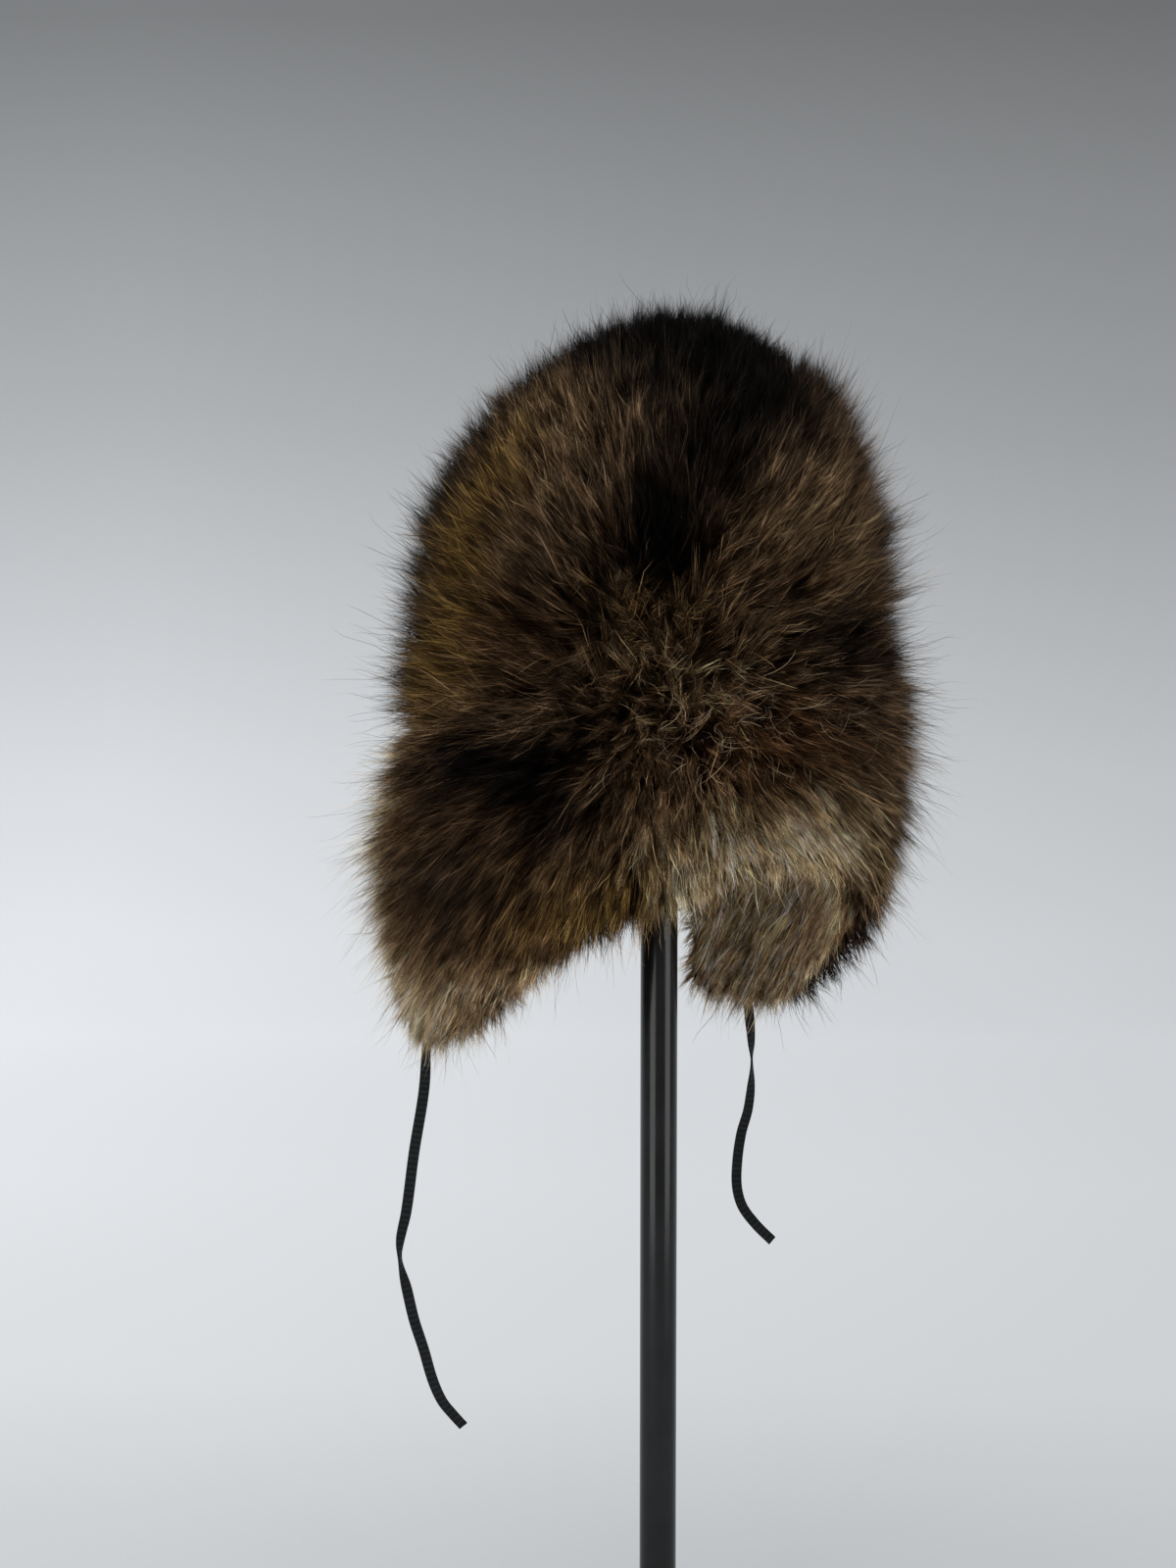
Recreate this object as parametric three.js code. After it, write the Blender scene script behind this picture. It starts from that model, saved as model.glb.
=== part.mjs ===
// Fur ushanka hat on a plain round stand. Millimetres, +Z up, the hat faces -Y.
// The underside of the stand's base is at Z = 0 and the pole stands on the Z axis.
import * as THREE from "three";

// Stand
const BASE_DIAMETER = 230;
const BASE_THICKNESS = 12;
const BASE_EDGE = 3;
const BASE_FOOT_EDGE = 1;
const POLE_DIAMETER = 19;
const COLLAR_DIAMETER = 42;
const COLLAR_HEIGHT = 14;
const COLLAR_CHAMFER = 5;
const CAP_DIAMETER = 84;
const CAP_HEIGHT = 40;
const CAP_EDGE = 3;

// Hat: the brow's height above the underside of the base, and lengths up and down from the brow
const BROW_HEIGHT = 512;
const BROW_BAND = 41;
const DOME_RISE = 145;
const EAR_FLAP_LENGTH = 152;
const DOME_ROUNDNESS = 2.15;
const CROWN_WIDTH = 188;
const CROWN_LENGTH = 222;
const CROWN_WALL = 3;
const FLAP_WALL = 4;
const FLAP_FRONT_ANGLE = 131;
const NECK_FLAP_ANGLE = 42;
const VISOR_ANGLE = 43;
const VISOR_WALL = 4;

// Fur depths, measured from the skin to the packed fur and to the tips of the locks
const CROWN_FUR_PACKED = 16;
const CROWN_FUR_LOCK = 16;
const BAND_FUR_PACKED = 22;
const BAND_FUR_LOCK = 20;
const INNER_FUR_PACKED = 6;
const INNER_FUR_LOCK = 13;
const VISOR_FUR_PACKED = 13;
const VISOR_FUR_LOCK = 17;

// Ties
const TIE_WIDTH = 5.6;
const TIE_THICKNESS = 1.3;

// Gaps between pieces
const GAP = 0.3;
const FUR_GAP = 0.8;
const VISOR_BACK_GAP = 1.3;
const SEAM_GAP = 1.4;
const WALL_SET_BACK = 1.1;
const VISOR_GAP = 3;
const CAP_CLEARANCE = 2.2;

const DOME_FOOT = BROW_HEIGHT + BROW_BAND;
const FLAP_TIP = BROW_HEIGHT - EAR_FLAP_LENGTH;
const CAP_TOP = DOME_FOOT + DOME_RISE - WALL_SET_BACK - CROWN_WALL - CAP_CLEARANCE;

// Angles run from the back of the hat towards the wearer's left: 0 is +Y, 90 is +X, 180 is -Y.
// A place up the hat is 0 at the tips of the ear flaps, 1 at the foot of the dome and 2 at the dome's top.
// The middle of the hat, away from the pole, as shares of half the crown's width and length
const MIDDLE = [
  { up: -0.052, x: 0.0426, y: -0.027 },
  { up: 0.466, x: 0.0532, y: -0.036 },
  { up: 1.048, x: 0.0638, y: -0.036 },
  { up: 1.462, x: 0.0532, y: -0.027 },
  { up: 1.772, x: -0.0106, y: 0.009 },
  { up: 2.083, x: -0.1064, y: 0.054 },
];

// The hat's level sections below the dome, as shares of the crown's width and length
const SECTIONS = [
  { up: -0.052, width: 1.04, back: 1.0, front: 2.1 },
  { up: 0.207, width: 1.08, back: 1.03, front: 2.0 },
  { up: 0.466, width: 1.1, back: 1.06, front: 1.6 },
  { up: 0.725, width: 1.06, back: 1.04, front: 1.15 },
  { up: 1, width: 1.0, back: 1.0, front: 1.0 },
];

// The seam under the crown all round, and the line where the crown's fur starts, which is above the visor in front,
// as shares of the dome's rise above the brow
const SEAM = [
  { angle: -180, seam: 0, fur: 0.497 },
  { angle: -150, seam: 0.028, fur: 0.469 },
  { angle: -134, seam: 0.097, fur: 0.193 },
  { angle: -110, seam: 0.234, fur: 0.234 },
  { angle: -80, seam: 0.372, fur: 0.372 },
  { angle: -56, seam: 0.428, fur: 0.428 },
  { angle: -30, seam: 0.359, fur: 0.359 },
  { angle: -10, seam: 0.276, fur: 0.276 },
  { angle: 17, seam: 0.166, fur: 0.166 },
  { angle: 40, seam: 0.069, fur: 0.069 },
  { angle: 62, seam: -0.028, fur: -0.028 },
  { angle: 90, seam: -0.021, fur: -0.021 },
  { angle: 120, seam: 0.014, fur: 0.014 },
  { angle: 134, seam: 0, fur: 0.11 },
  { angle: 150, seam: -0.007, fur: 0.455 },
  { angle: 180, seam: 0, fur: 0.497 },
];

// The lower edge of the flaps, the same on both sides of the hat, as shares of the ear flaps' length below the brow
const RIM = [
  { angle: 0, drop: 0.362 },
  { angle: 14, drop: 0.382 },
  { angle: 28, drop: 0.461 },
  { angle: 45, drop: 0.572 },
  { angle: 68, drop: 0.75 },
  { angle: 90, drop: 0.921 },
  { angle: 106, drop: 0.987 },
  { angle: 120, drop: 1 },
  { angle: 131, drop: 0.967 },
];

// The four gores of the crown, from one seam to the next
const GORES = [
  { name: "crown_fur_back_left", from: -10, to: 95, cells: 13, color: 0x77603f },
  { name: "crown_fur_front_left", from: 95, to: 178, cells: 10, color: 0x4a3d33 },
  { name: "crown_fur_front_right", from: 178, to: 262, cells: 10, color: 0x51412f },
  { name: "crown_fur_back_right", from: 262, to: 350, cells: 11, color: 0x5d4b38 },
];

// Hollows and swellings of the crown's fur, placed by angle and by a share of the dome's rise. Depth and spread are
// shares of the packed fur's depth.
const FOLDS = [
  { angle: -50, rise: 0.862, depth: -0.56, spread: 1.0 },
  { angle: -58, rise: 0.752, depth: 0.5, spread: 1.38 },
  { angle: 40, rise: 0.945, depth: 0.19, spread: 1.88 },
];

// Packed fur and locks down the flaps, as shares of their depth, and how far the locks turn down
const BAND_FUR = [
  { along: 0, packed: 0.45, lock: 0.9, down: -0.25 },
  { along: 0.18, packed: 0.85, lock: 1.0, down: -0.1 },
  { along: 0.45, packed: 1.0, lock: 1.0, down: 0.1 },
  { along: 0.75, packed: 0.85, lock: 1.0, down: 0.35 },
  { along: 1, packed: 0.5, lock: 1.3, down: 2.2 },
];

// The ties hang from the tips of the ear flaps
const TIE_LEFT = [
  [97, -69, 361.3],
  [97.8, -69.6, 350],
  [99, -70.4, 322],
  [103.5, -73.5, 288],
  [107, -75.8, 257],
  [109.8, -77.6, 241],
  [109.8, -77.6, 230],
  [107, -75.6, 215],
  [104, -73.5, 199],
  [100, -71, 184],
  [96, -68.3, 167],
  [92, -65.6, 156],
  [87.4, -62.6, 149],
  [82.7, -59.4, 142.7],
];
const TIE_RIGHT = [
  [-90.7, -48.2, 359.9],
  [-92.2, -48.2, 350],
  [-93.7, -47.6, 332],
  [-93.8, -47.3, 310],
  [-92.4, -48.3, 293],
  [-89.3, -50.4, 279],
  [-87.5, -51.6, 263],
  [-87.4, -51.6, 249],
  [-90, -50, 238],
  [-96, -45.8, 228],
  [-103.8, -40.6, 218.6],
];

const rad = (degrees) => (degrees * Math.PI) / 180;

// A smooth curve through one column of a table
function along(rows, key, at, column) {
  const last = rows.length - 1;
  if (at <= rows[0][key]) return rows[0][column];
  if (at >= rows[last][key]) return rows[last][column];
  let i = 0;
  while (rows[i + 1][key] < at) i += 1;
  const slope = (k) => {
    const a = rows[Math.max(k - 1, 0)];
    const b = rows[Math.min(k + 1, last)];
    return (b[column] - a[column]) / (b[key] - a[key]);
  };
  const width = rows[i + 1][key] - rows[i][key];
  const t = (at - rows[i][key]) / width;
  const rise = rows[i + 1][column] - rows[i][column];
  const m0 = slope(i) * width;
  const m1 = slope(i + 1) * width;
  return rows[i][column] + t * (m0 + t * (3 * rise - 2 * m0 - m1 + t * (m0 + m1 - 2 * rise)));
}

function turned(angle) {
  return ((((angle + 180) % 360) + 360) % 360) - 180;
}

function seamHeight(angle) {
  return BROW_HEIGHT + DOME_RISE * along(SEAM, "angle", turned(angle), "seam");
}

function furLine(angle) {
  return Math.max(BROW_HEIGHT + DOME_RISE * along(SEAM, "angle", turned(angle), "fur"), seamHeight(angle));
}

function rimHeight(angle) {
  return BROW_HEIGHT - EAR_FLAP_LENGTH * along(RIM, "angle", Math.abs(turned(angle)), "drop");
}

function placeUp(height) {
  if (height <= DOME_FOOT) return (height - FLAP_TIP) / (DOME_FOOT - FLAP_TIP);
  return 1 + (height - DOME_FOOT) / DOME_RISE;
}

function middle(height) {
  const up = placeUp(height);
  return {
    x: (CROWN_WIDTH / 2) * along(MIDDLE, "up", up, "x"),
    y: (CROWN_LENGTH / 2) * along(MIDDLE, "up", up, "y"),
  };
}

// The distance from the hat's middle to its skin, below the dome
function reach(angle, height) {
  const a = rad(angle);
  const half = (CROWN_WIDTH / 2) * along(SECTIONS, "up", placeUp(height), "width");
  const side = Math.cos(a) > 0 ? "back" : "front";
  const length = (CROWN_LENGTH / 2) * along(SECTIONS, "up", placeUp(height), side);
  return 1 / Math.hypot(Math.sin(a) / half, Math.cos(a) / length);
}

function placed(angle, height, distance) {
  const a = rad(angle);
  const m = middle(height);
  return new THREE.Vector3(m.x + distance * Math.sin(a), m.y + distance * Math.cos(a), height);
}

function bandSkin(angle, height) {
  return placed(angle, height, reach(angle, height));
}

// The skin from a low height to the top of the dome, by a share of the length of that line
function crownSkin(angle, low, share) {
  const steps = 48;
  const line = [];
  const straight = Math.max(DOME_FOOT - low, 0);
  const start = low > DOME_FOOT ? Math.asin(((low - DOME_FOOT) / DOME_RISE) ** (DOME_ROUNDNESS / 2)) : 0;
  if (straight > 0) {
    for (let i = 0; i < 8; i += 1) {
      const z = low + (straight * i) / 8;
      line.push(bandSkin(angle, z));
    }
  }
  for (let i = 0; i <= steps; i += 1) {
    const t = start + ((Math.PI / 2 - start) * i) / steps;
    const z = DOME_FOOT + DOME_RISE * Math.sin(t) ** (2 / DOME_ROUNDNESS);
    const distance = reach(angle, DOME_FOOT) * Math.max(Math.cos(t), 0) ** (2 / DOME_ROUNDNESS);
    line.push(placed(angle, z, i === steps ? 0 : distance));
  }
  const run = [0];
  for (let i = 1; i < line.length; i += 1) run.push(run[i - 1] + line[i].distanceTo(line[i - 1]));
  const wanted = share * run[run.length - 1];
  let k = 0;
  while (k < line.length - 2 && run[k + 1] < wanted) k += 1;
  const t = (wanted - run[k]) / (run[k + 1] - run[k]);
  return line[k].clone().lerp(line[k + 1], Math.min(Math.max(t, 0), 1));
}

// How far outside the skin a point is, as a level whose slope is the way the fur stands
function level(x, y, z) {
  const m = middle(z);
  const dx = x - m.x;
  const dy = y - m.y;
  const angle = (Math.atan2(dx, dy) * 180) / Math.PI;
  const out = Math.hypot(dx, dy) / reach(angle, Math.min(z, DOME_FOOT));
  if (z <= DOME_FOOT) return out;
  return (out ** DOME_ROUNDNESS + ((z - DOME_FOOT) / DOME_RISE) ** DOME_ROUNDNESS) ** (1 / DOME_ROUNDNESS);
}

function outward(p) {
  const e = 0.5;
  return new THREE.Vector3(
    level(p.x + e, p.y, p.z) - level(p.x - e, p.y, p.z),
    level(p.x, p.y + e, p.z) - level(p.x, p.y - e, p.z),
    level(p.x, p.y, p.z + e) - level(p.x, p.y, p.z - e)
  ).normalize();
}

function raised(p, depth) {
  return p.clone().addScaledVector(outward(p), depth);
}

// A steady, uneven number from -1 to 1
function uneven(a, b) {
  const s = Math.sin(a * 12.9898 + b * 78.233) * 43758.5453;
  return 2 * (s - Math.floor(s)) - 1;
}

// The locks stand between the skin's own direction and the direction away from the middle of the hat
function lockTip(p, depth, down, seed) {
  const away = p.clone().sub(new THREE.Vector3(0, 0, (BROW_HEIGHT + DOME_FOOT) / 2)).normalize();
  const way = outward(p).addScaledVector(away, 0.6);
  way.z -= down;
  way.x += 0.1 * uneven(seed, 1);
  way.y += 0.1 * uneven(seed, 2);
  way.z += 0.1 * uneven(seed, 3);
  return p.clone().addScaledVector(way.normalize(), depth * (0.86 + 0.14 * uneven(seed, 4)));
}

// A closed sheet over rows of points: an outer side, an inner side and the edge between them.
// Where tip is given, each outer cell rises to a lock.
class Sheet {
  constructor() {
    this.points = [];
    this.faces = [];
  }
  add(p) {
    this.points.push(p);
    return this.points.length - 1;
  }
  tri(a, b, c) {
    this.faces.push([a, b, c]);
  }
  quad(a, b, c, d) {
    this.tri(a, b, c);
    this.tri(a, c, d);
  }
  geometry() {
    const flat = [];
    for (const face of this.faces) for (const i of face) flat.push(...this.points[i].toArray());
    const g = new THREE.BufferGeometry();
    g.setAttribute("position", new THREE.Float32BufferAttribute(flat, 3));
    g.computeVertexNormals();
    return g;
  }
}

// outer(i, j) and inner(i, j) give the sheet's two sides; i runs towards larger angles and j downwards.
// A sheet that faces in has its outer side nearer the middle of the hat.
function gridSheet(columns, rows, outer, inner, tip, facesIn = false) {
  const s = new Sheet();
  const out = [];
  const back = [];
  for (let i = 0; i <= columns; i += 1) {
    out.push([]);
    back.push([]);
    for (let j = 0; j <= rows; j += 1) {
      out[i].push(s.add(outer(i, j)));
      back[i].push(s.add(inner(i, j)));
    }
  }
  for (let i = 0; i < columns; i += 1) {
    for (let j = 0; j < rows; j += 1) {
      const [a, b, c, d] = [out[i][j], out[i + 1][j], out[i + 1][j + 1], out[i][j + 1]];
      if (tip) {
        const middle = new THREE.Vector3();
        for (const k of [a, b, c, d]) middle.addScaledVector(s.points[k], 0.25);
        const t = s.add(tip(middle, i, j));
        for (const [p, q] of [[a, b], [b, c], [c, d], [d, a]]) s.tri(p, q, t);
      } else {
        s.quad(a, b, c, d);
      }
      s.quad(back[i][j + 1], back[i + 1][j + 1], back[i + 1][j], back[i][j]);
    }
  }
  for (let i = 0; i < columns; i += 1) {
    s.quad(out[i + 1][0], out[i][0], back[i][0], back[i + 1][0]);
    s.quad(out[i][rows], out[i + 1][rows], back[i + 1][rows], back[i][rows]);
  }
  for (let j = 0; j < rows; j += 1) {
    s.quad(out[0][j], out[0][j + 1], back[0][j + 1], back[0][j]);
    s.quad(out[columns][j + 1], out[columns][j], back[columns][j], back[columns][j + 1]);
  }
  if (facesIn) s.faces.forEach((face) => face.reverse());
  return s.geometry();
}

// The same over a gore that narrows to a point: row k has cells - k cells
function goreSheet(cells, outer, inner, tip) {
  const s = new Sheet();
  const out = [];
  const back = [];
  for (let k = 0; k <= cells; k += 1) {
    out.push([]);
    back.push([]);
    for (let i = 0; i <= cells - k; i += 1) {
      out[k].push(s.add(outer(i, k)));
      back[k].push(s.add(inner(i, k)));
    }
  }
  const cell = (a, b, c, seed) => {
    const middle = new THREE.Vector3();
    for (const k of [a, b, c]) middle.addScaledVector(s.points[k], 1 / 3);
    const t = s.add(tip(middle, seed));
    for (const [p, q] of [[a, b], [b, c], [c, a]]) s.tri(p, q, t);
  };
  for (let k = 0; k < cells; k += 1) {
    for (let i = 0; i < cells - k; i += 1) {
      cell(out[k][i + 1], out[k][i], out[k + 1][i], k * 40 + i);
      s.tri(back[k][i], back[k][i + 1], back[k + 1][i]);
      if (i < cells - k - 1) {
        cell(out[k][i + 1], out[k + 1][i], out[k + 1][i + 1], 1700 + k * 40 + i);
        s.tri(back[k + 1][i], back[k][i + 1], back[k + 1][i + 1]);
      }
    }
    const end = cells - k;
    s.quad(out[k][0], back[k][0], back[k + 1][0], out[k + 1][0]);
    s.quad(back[k][end], out[k][end], out[k + 1][end - 1], back[k + 1][end - 1]);
  }
  for (let i = 0; i < cells; i += 1) s.quad(back[0][i], out[0][i], out[0][i + 1], back[0][i + 1]);
  return s.geometry();
}

function folds(angle, p) {
  let sum = 0;
  for (const f of FOLDS) {
    const centre = crownPlace(f.angle, DOME_FOOT + DOME_RISE * f.rise);
    const spread = CROWN_FUR_PACKED * f.spread;
    sum += CROWN_FUR_PACKED * f.depth * Math.exp(-p.distanceToSquared(centre) / (2 * spread ** 2));
  }
  return sum;
}

function crownPlace(angle, height) {
  const share = (height - DOME_FOOT) / DOME_RISE;
  const distance = reach(angle, DOME_FOOT) * (1 - share ** DOME_ROUNDNESS) ** (1 / DOME_ROUNDNESS);
  return placed(angle, height, distance);
}

// The packed fur is deepest in the middle of a gore and parts along its seams
function goreFur(gore) {
  const span = gore.to - gore.from;
  const place = (i, k) => {
    const count = gore.cells - k;
    const f = count > 0 ? i / count : 0.5;
    const share = k / gore.cells;
    const angle = gore.from + span * f;
    const low = furLine(angle) + SEAM_GAP / 2;
    const p = crownSkin(angle, low, share);
    const side = new THREE.Vector3(Math.cos(rad(angle)), -Math.sin(rad(angle)), 0);
    if (count === 0) {
      const mid = rad(gore.from + span / 2);
      p.x += GAP * 1.5 * Math.sin(mid);
      p.y += GAP * 1.5 * Math.cos(mid);
    } else if (i === 0) {
      p.addScaledVector(side, GAP * 0.7);
    } else if (i === count) {
      p.addScaledVector(side, -GAP * 0.7);
    }
    const swell = Math.sin(Math.PI * f) ** 0.6 * Math.sin(Math.PI * Math.min(share * 0.85 + 0.1, 1)) ** 0.5;
    return { p, swell, angle };
  };
  const outer = (i, k) => {
    const { p, swell, angle } = place(i, k);
    return raised(p, CROWN_FUR_PACKED * (0.5 + 0.5 * swell) + folds(angle, p));
  };
  const inner = (i, k) => raised(place(i, k).p, FUR_GAP);
  const tip = (p, seed) => lockTip(p, CROWN_FUR_LOCK, -0.1, seed + gore.from);
  return goreSheet(gore.cells, outer, inner, tip);
}

function crownWall() {
  const columns = 36;
  const rows = 9;
  const s = new Sheet();
  const ring = [];
  const row = (depth, j) => {
    const ids = [];
    for (let i = 0; i < columns; i += 1) {
      const angle = (360 * i) / columns;
      const p = crownSkin(angle, seamHeight(angle) + SEAM_GAP / 2, j / rows);
      ids.push(s.add(raised(p, -WALL_SET_BACK - depth)));
    }
    return ids;
  };
  for (const depth of [0, CROWN_WALL]) {
    const lines = [];
    for (let j = 0; j < rows; j += 1) lines.push(row(depth, j));
    lines.push(s.add(raised(crownSkin(0, DOME_FOOT, 1), -WALL_SET_BACK - depth)));
    ring.push(lines);
  }
  const [out, back] = ring;
  for (let i = 0; i < columns; i += 1) {
    const n = (i + 1) % columns;
    for (let j = 0; j < rows - 1; j += 1) {
      s.quad(out[j][n], out[j][i], out[j + 1][i], out[j + 1][n]);
      s.quad(back[j][i], back[j][n], back[j + 1][n], back[j + 1][i]);
    }
    s.tri(out[rows - 1][n], out[rows - 1][i], out[rows]);
    s.tri(back[rows - 1][i], back[rows - 1][n], back[rows]);
    s.quad(back[0][n], back[0][i], out[0][i], out[0][n]);
  }
  return s.geometry();
}

// A flap from the seam down to the rim between two angles, at a depth from the skin
function flapPlace(from, to, columns, rows) {
  return (i, j) => {
    const inset = i === 0 ? 0.12 : i === columns ? -0.12 : 0;
    const angle = from + ((to - from) * i) / columns + inset;
    const top = seamHeight(angle) - SEAM_GAP / 2;
    return bandSkin(angle, top + (rimHeight(angle) - top) * (j / rows));
  };
}

function flapWall(from, to, columns, rows) {
  const place = flapPlace(from, to, columns, rows);
  return gridSheet(columns, rows, (i, j) => raised(place(i, j), -GAP), (i, j) => raised(place(i, j), -FLAP_WALL));
}

function flapFur(from, to, columns, rows) {
  const place = flapPlace(from, to, columns, rows);
  const packed = (i, j) => {
    const angle = from + ((to - from) * i) / columns;
    const front = Math.min((FLAP_FRONT_ANGLE - Math.abs(angle)) / 16, 1);
    const share = along(BAND_FUR, "along", j / rows, "packed");
    return BAND_FUR_PACKED * share * (0.45 + 0.55 * Math.sqrt(Math.max(front, 0)));
  };
  const outer = (i, j) => raised(place(i, j), packed(i, j));
  const inner = (i, j) => raised(place(i, j), FUR_GAP);
  const tip = (p, i, j) => {
    const share = (j + 0.5) / rows;
    const depth = BAND_FUR_LOCK * along(BAND_FUR, "along", share, "lock");
    return lockTip(p, depth, along(BAND_FUR, "along", share, "down"), i * 31 + j + from);
  };
  return gridSheet(columns, rows, outer, inner, tip);
}

function flapInnerFur(from, to, columns, rows) {
  const place = flapPlace(from, to, columns, rows);
  const outer = (i, j) => raised(place(i, j), -FLAP_WALL - GAP - INNER_FUR_PACKED);
  const inner = (i, j) => raised(place(i, j), -FLAP_WALL - GAP);
  const tip = (p, i, j) => {
    const way = outward(p).multiplyScalar(-1);
    way.z -= 0.3 + 0.5 * ((j + 0.5) / rows);
    way.x += 0.12 * uneven(i, j + from);
    way.y += 0.12 * uneven(j, i + from);
    return p.clone().addScaledVector(way.normalize(), INNER_FUR_LOCK * (0.88 + 0.12 * uneven(i + j, from)));
  };
  return gridSheet(columns, rows, outer, inner, tip, true);
}

// The visor is turned up over the front of the crown
function visorPlace(columns, rows) {
  return (i, j) => {
    const angle = 180 - VISOR_ANGLE + (2 * VISOR_ANGLE * i) / columns;
    const top = furLine(angle) - VISOR_GAP;
    const low = seamHeight(angle);
    const share = 1 - j / rows;
    const z = low + (top - low) * share;
    return z <= DOME_FOOT ? bandSkin(angle, z) : crownPlace(angle, z);
  };
}

function visorWall(columns, rows) {
  const place = visorPlace(columns, rows);
  const outer = (i, j) => raised(place(i, j), VISOR_BACK_GAP + VISOR_WALL);
  return gridSheet(columns, rows, outer, (i, j) => raised(place(i, j), VISOR_BACK_GAP));
}

function visorFur(columns, rows) {
  const place = visorPlace(columns, rows);
  const base = VISOR_BACK_GAP + VISOR_WALL + FUR_GAP;
  const outer = (i, j) => {
    const side = Math.sin((Math.PI * Math.min(Math.max(i / columns, 0.02), 0.98))) ** 0.5;
    const end = 0.55 + 0.45 * Math.sin(Math.PI * (j / rows)) ** 0.7;
    return raised(place(i, j), base + VISOR_FUR_PACKED * (0.3 + 0.7 * side) * end);
  };
  const tip = (p, i, j) => lockTip(p, VISOR_FUR_LOCK, 0.25 - 0.7 * (1 - (j + 0.5) / rows), i * 17 + j);
  return gridSheet(columns, rows, outer, (i, j) => raised(place(i, j), base), tip);
}

// A flat tie along its points
function tie(points, turn) {
  const curve = new THREE.CatmullRomCurve3(points.map((p) => new THREE.Vector3(...p)), false, "centripetal");
  const shape = new THREE.Shape();
  for (let i = 0; i < 8; i += 1) {
    const a = (Math.PI * (i + 0.5)) / 4;
    const x = (Math.sign(Math.cos(a)) * TIE_WIDTH * (Math.abs(Math.cos(a)) > 0.7 ? 1 : 0.72)) / 2;
    const y = (Math.sign(Math.sin(a)) * TIE_THICKNESS * (Math.abs(Math.sin(a)) > 0.7 ? 1 : 0.5)) / 2;
    const [c, s] = [Math.cos(turn), Math.sin(turn)];
    if (i === 0) shape.moveTo(c * x - s * y, s * x + c * y);
    else shape.lineTo(c * x - s * y, s * x + c * y);
  }
  const steps = Math.round(curve.getLength() / (TIE_WIDTH * 1.1));
  return new THREE.ExtrudeGeometry(shape, { steps, extrudePath: curve, bevelEnabled: false });
}

function turnedSolid(profile, segments) {
  const points = profile.map(([r, z]) => new THREE.Vector2(r, z));
  const g = new THREE.LatheGeometry(points, segments);
  g.rotateX(Math.PI / 2);
  return g;
}

function standBase() {
  const r = BASE_DIAMETER / 2;
  const foot = BASE_FOOT_EDGE;
  const top = BASE_THICKNESS;
  return turnedSolid([[0, 0], [r - foot, 0], [r, foot], [r, top - BASE_EDGE], [r - BASE_EDGE, top], [0, top]], 48);
}

function standCollar() {
  const low = BASE_THICKNESS + GAP;
  const top = low + COLLAR_HEIGHT;
  const inside = POLE_DIAMETER / 2 + GAP;
  const r = COLLAR_DIAMETER / 2;
  const edge = COLLAR_CHAMFER;
  return turnedSolid([[inside, low], [r, low], [r, top - edge], [r - edge, top], [inside, top], [inside, low]], 32);
}

function standPole() {
  const r = POLE_DIAMETER / 2;
  const low = BASE_THICKNESS + GAP;
  const top = CAP_TOP - CAP_HEIGHT - GAP;
  return turnedSolid([[0, low], [r, low], [r, top], [0, top]], 32);
}

function standCap() {
  const r = CAP_DIAMETER / 2;
  const low = CAP_TOP - CAP_HEIGHT;
  const profile = [[0, low], [r - CAP_EDGE, low], [r, low + CAP_EDGE]];
  for (let i = 1; i < 6; i += 1) {
    const t = (Math.PI / 2) * (i / 6);
    profile.push([r * Math.cos(t), low + CAP_EDGE + (CAP_HEIGHT - CAP_EDGE) * Math.sin(t)]);
  }
  profile.push([0, CAP_TOP]);
  return turnedSolid(profile, 32);
}

function material(color, roughness, metalness = 0) {
  return new THREE.MeshStandardMaterial({ color, roughness, metalness });
}

const hat = new THREE.Group();
const put = (name, geometry, look) => {
  const mesh = new THREE.Mesh(geometry, look);
  mesh.name = name;
  hat.add(mesh);
};
const leather = () => material(0x3a2c20, 0.8);
put("crown_wall", crownWall(), leather());
for (const gore of GORES) put(gore.name, goreFur(gore), material(gore.color, 0.9));
const end = FLAP_FRONT_ANGLE;
const neck = NECK_FLAP_ANGLE;
put("neck_flap_wall", flapWall(-neck, neck, 8, 5), leather());
put("ear_flap_left_wall", flapWall(neck, end, 8, 6), leather());
put("ear_flap_right_wall", flapWall(-end, -neck, 8, 6), leather());
put("neck_flap_fur", flapFur(-neck, neck, 11, 7), material(0x7a6347, 0.9));
put("ear_flap_left_fur", flapFur(neck, end, 11, 9), material(0x6b563d, 0.9));
put("ear_flap_right_fur", flapFur(-end, -neck, 11, 9), material(0x5f4c38, 0.9));
put("neck_flap_inner_fur", flapInnerFur(-neck, neck, 8, 5), material(0xa48a68, 0.9));
put("ear_flap_left_inner_fur", flapInnerFur(neck, end, 8, 6), material(0x967e5f, 0.9));
put("ear_flap_right_inner_fur", flapInnerFur(-end, -neck, 8, 6), material(0x967e5f, 0.9));
put("visor_wall", visorWall(11, 5), leather());
put("visor_fur", visorFur(11, 5), material(0x6b563d, 0.9));
put("tie_left", tie(TIE_LEFT, 0), material(0x16181a, 0.75));
put("tie_right", tie(TIE_RIGHT, 0), material(0x16181a, 0.75));
const black = () => material(0x101113, 0.3);
put("stand_base", standBase(), black());
put("stand_collar", standCollar(), black());
put("stand_pole", standPole(), black());
put("stand_cap", standCap(), black());
export default hat;
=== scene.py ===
"""Dresses the fur ushanka and its plain stand: deep fur, padded skin, ribbon ties and a glossy stand.

The hat faces -Y, the wearer's left is +X, and angles round it run from the back (0) towards the wearer's left (90).
"""

import math

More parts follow.
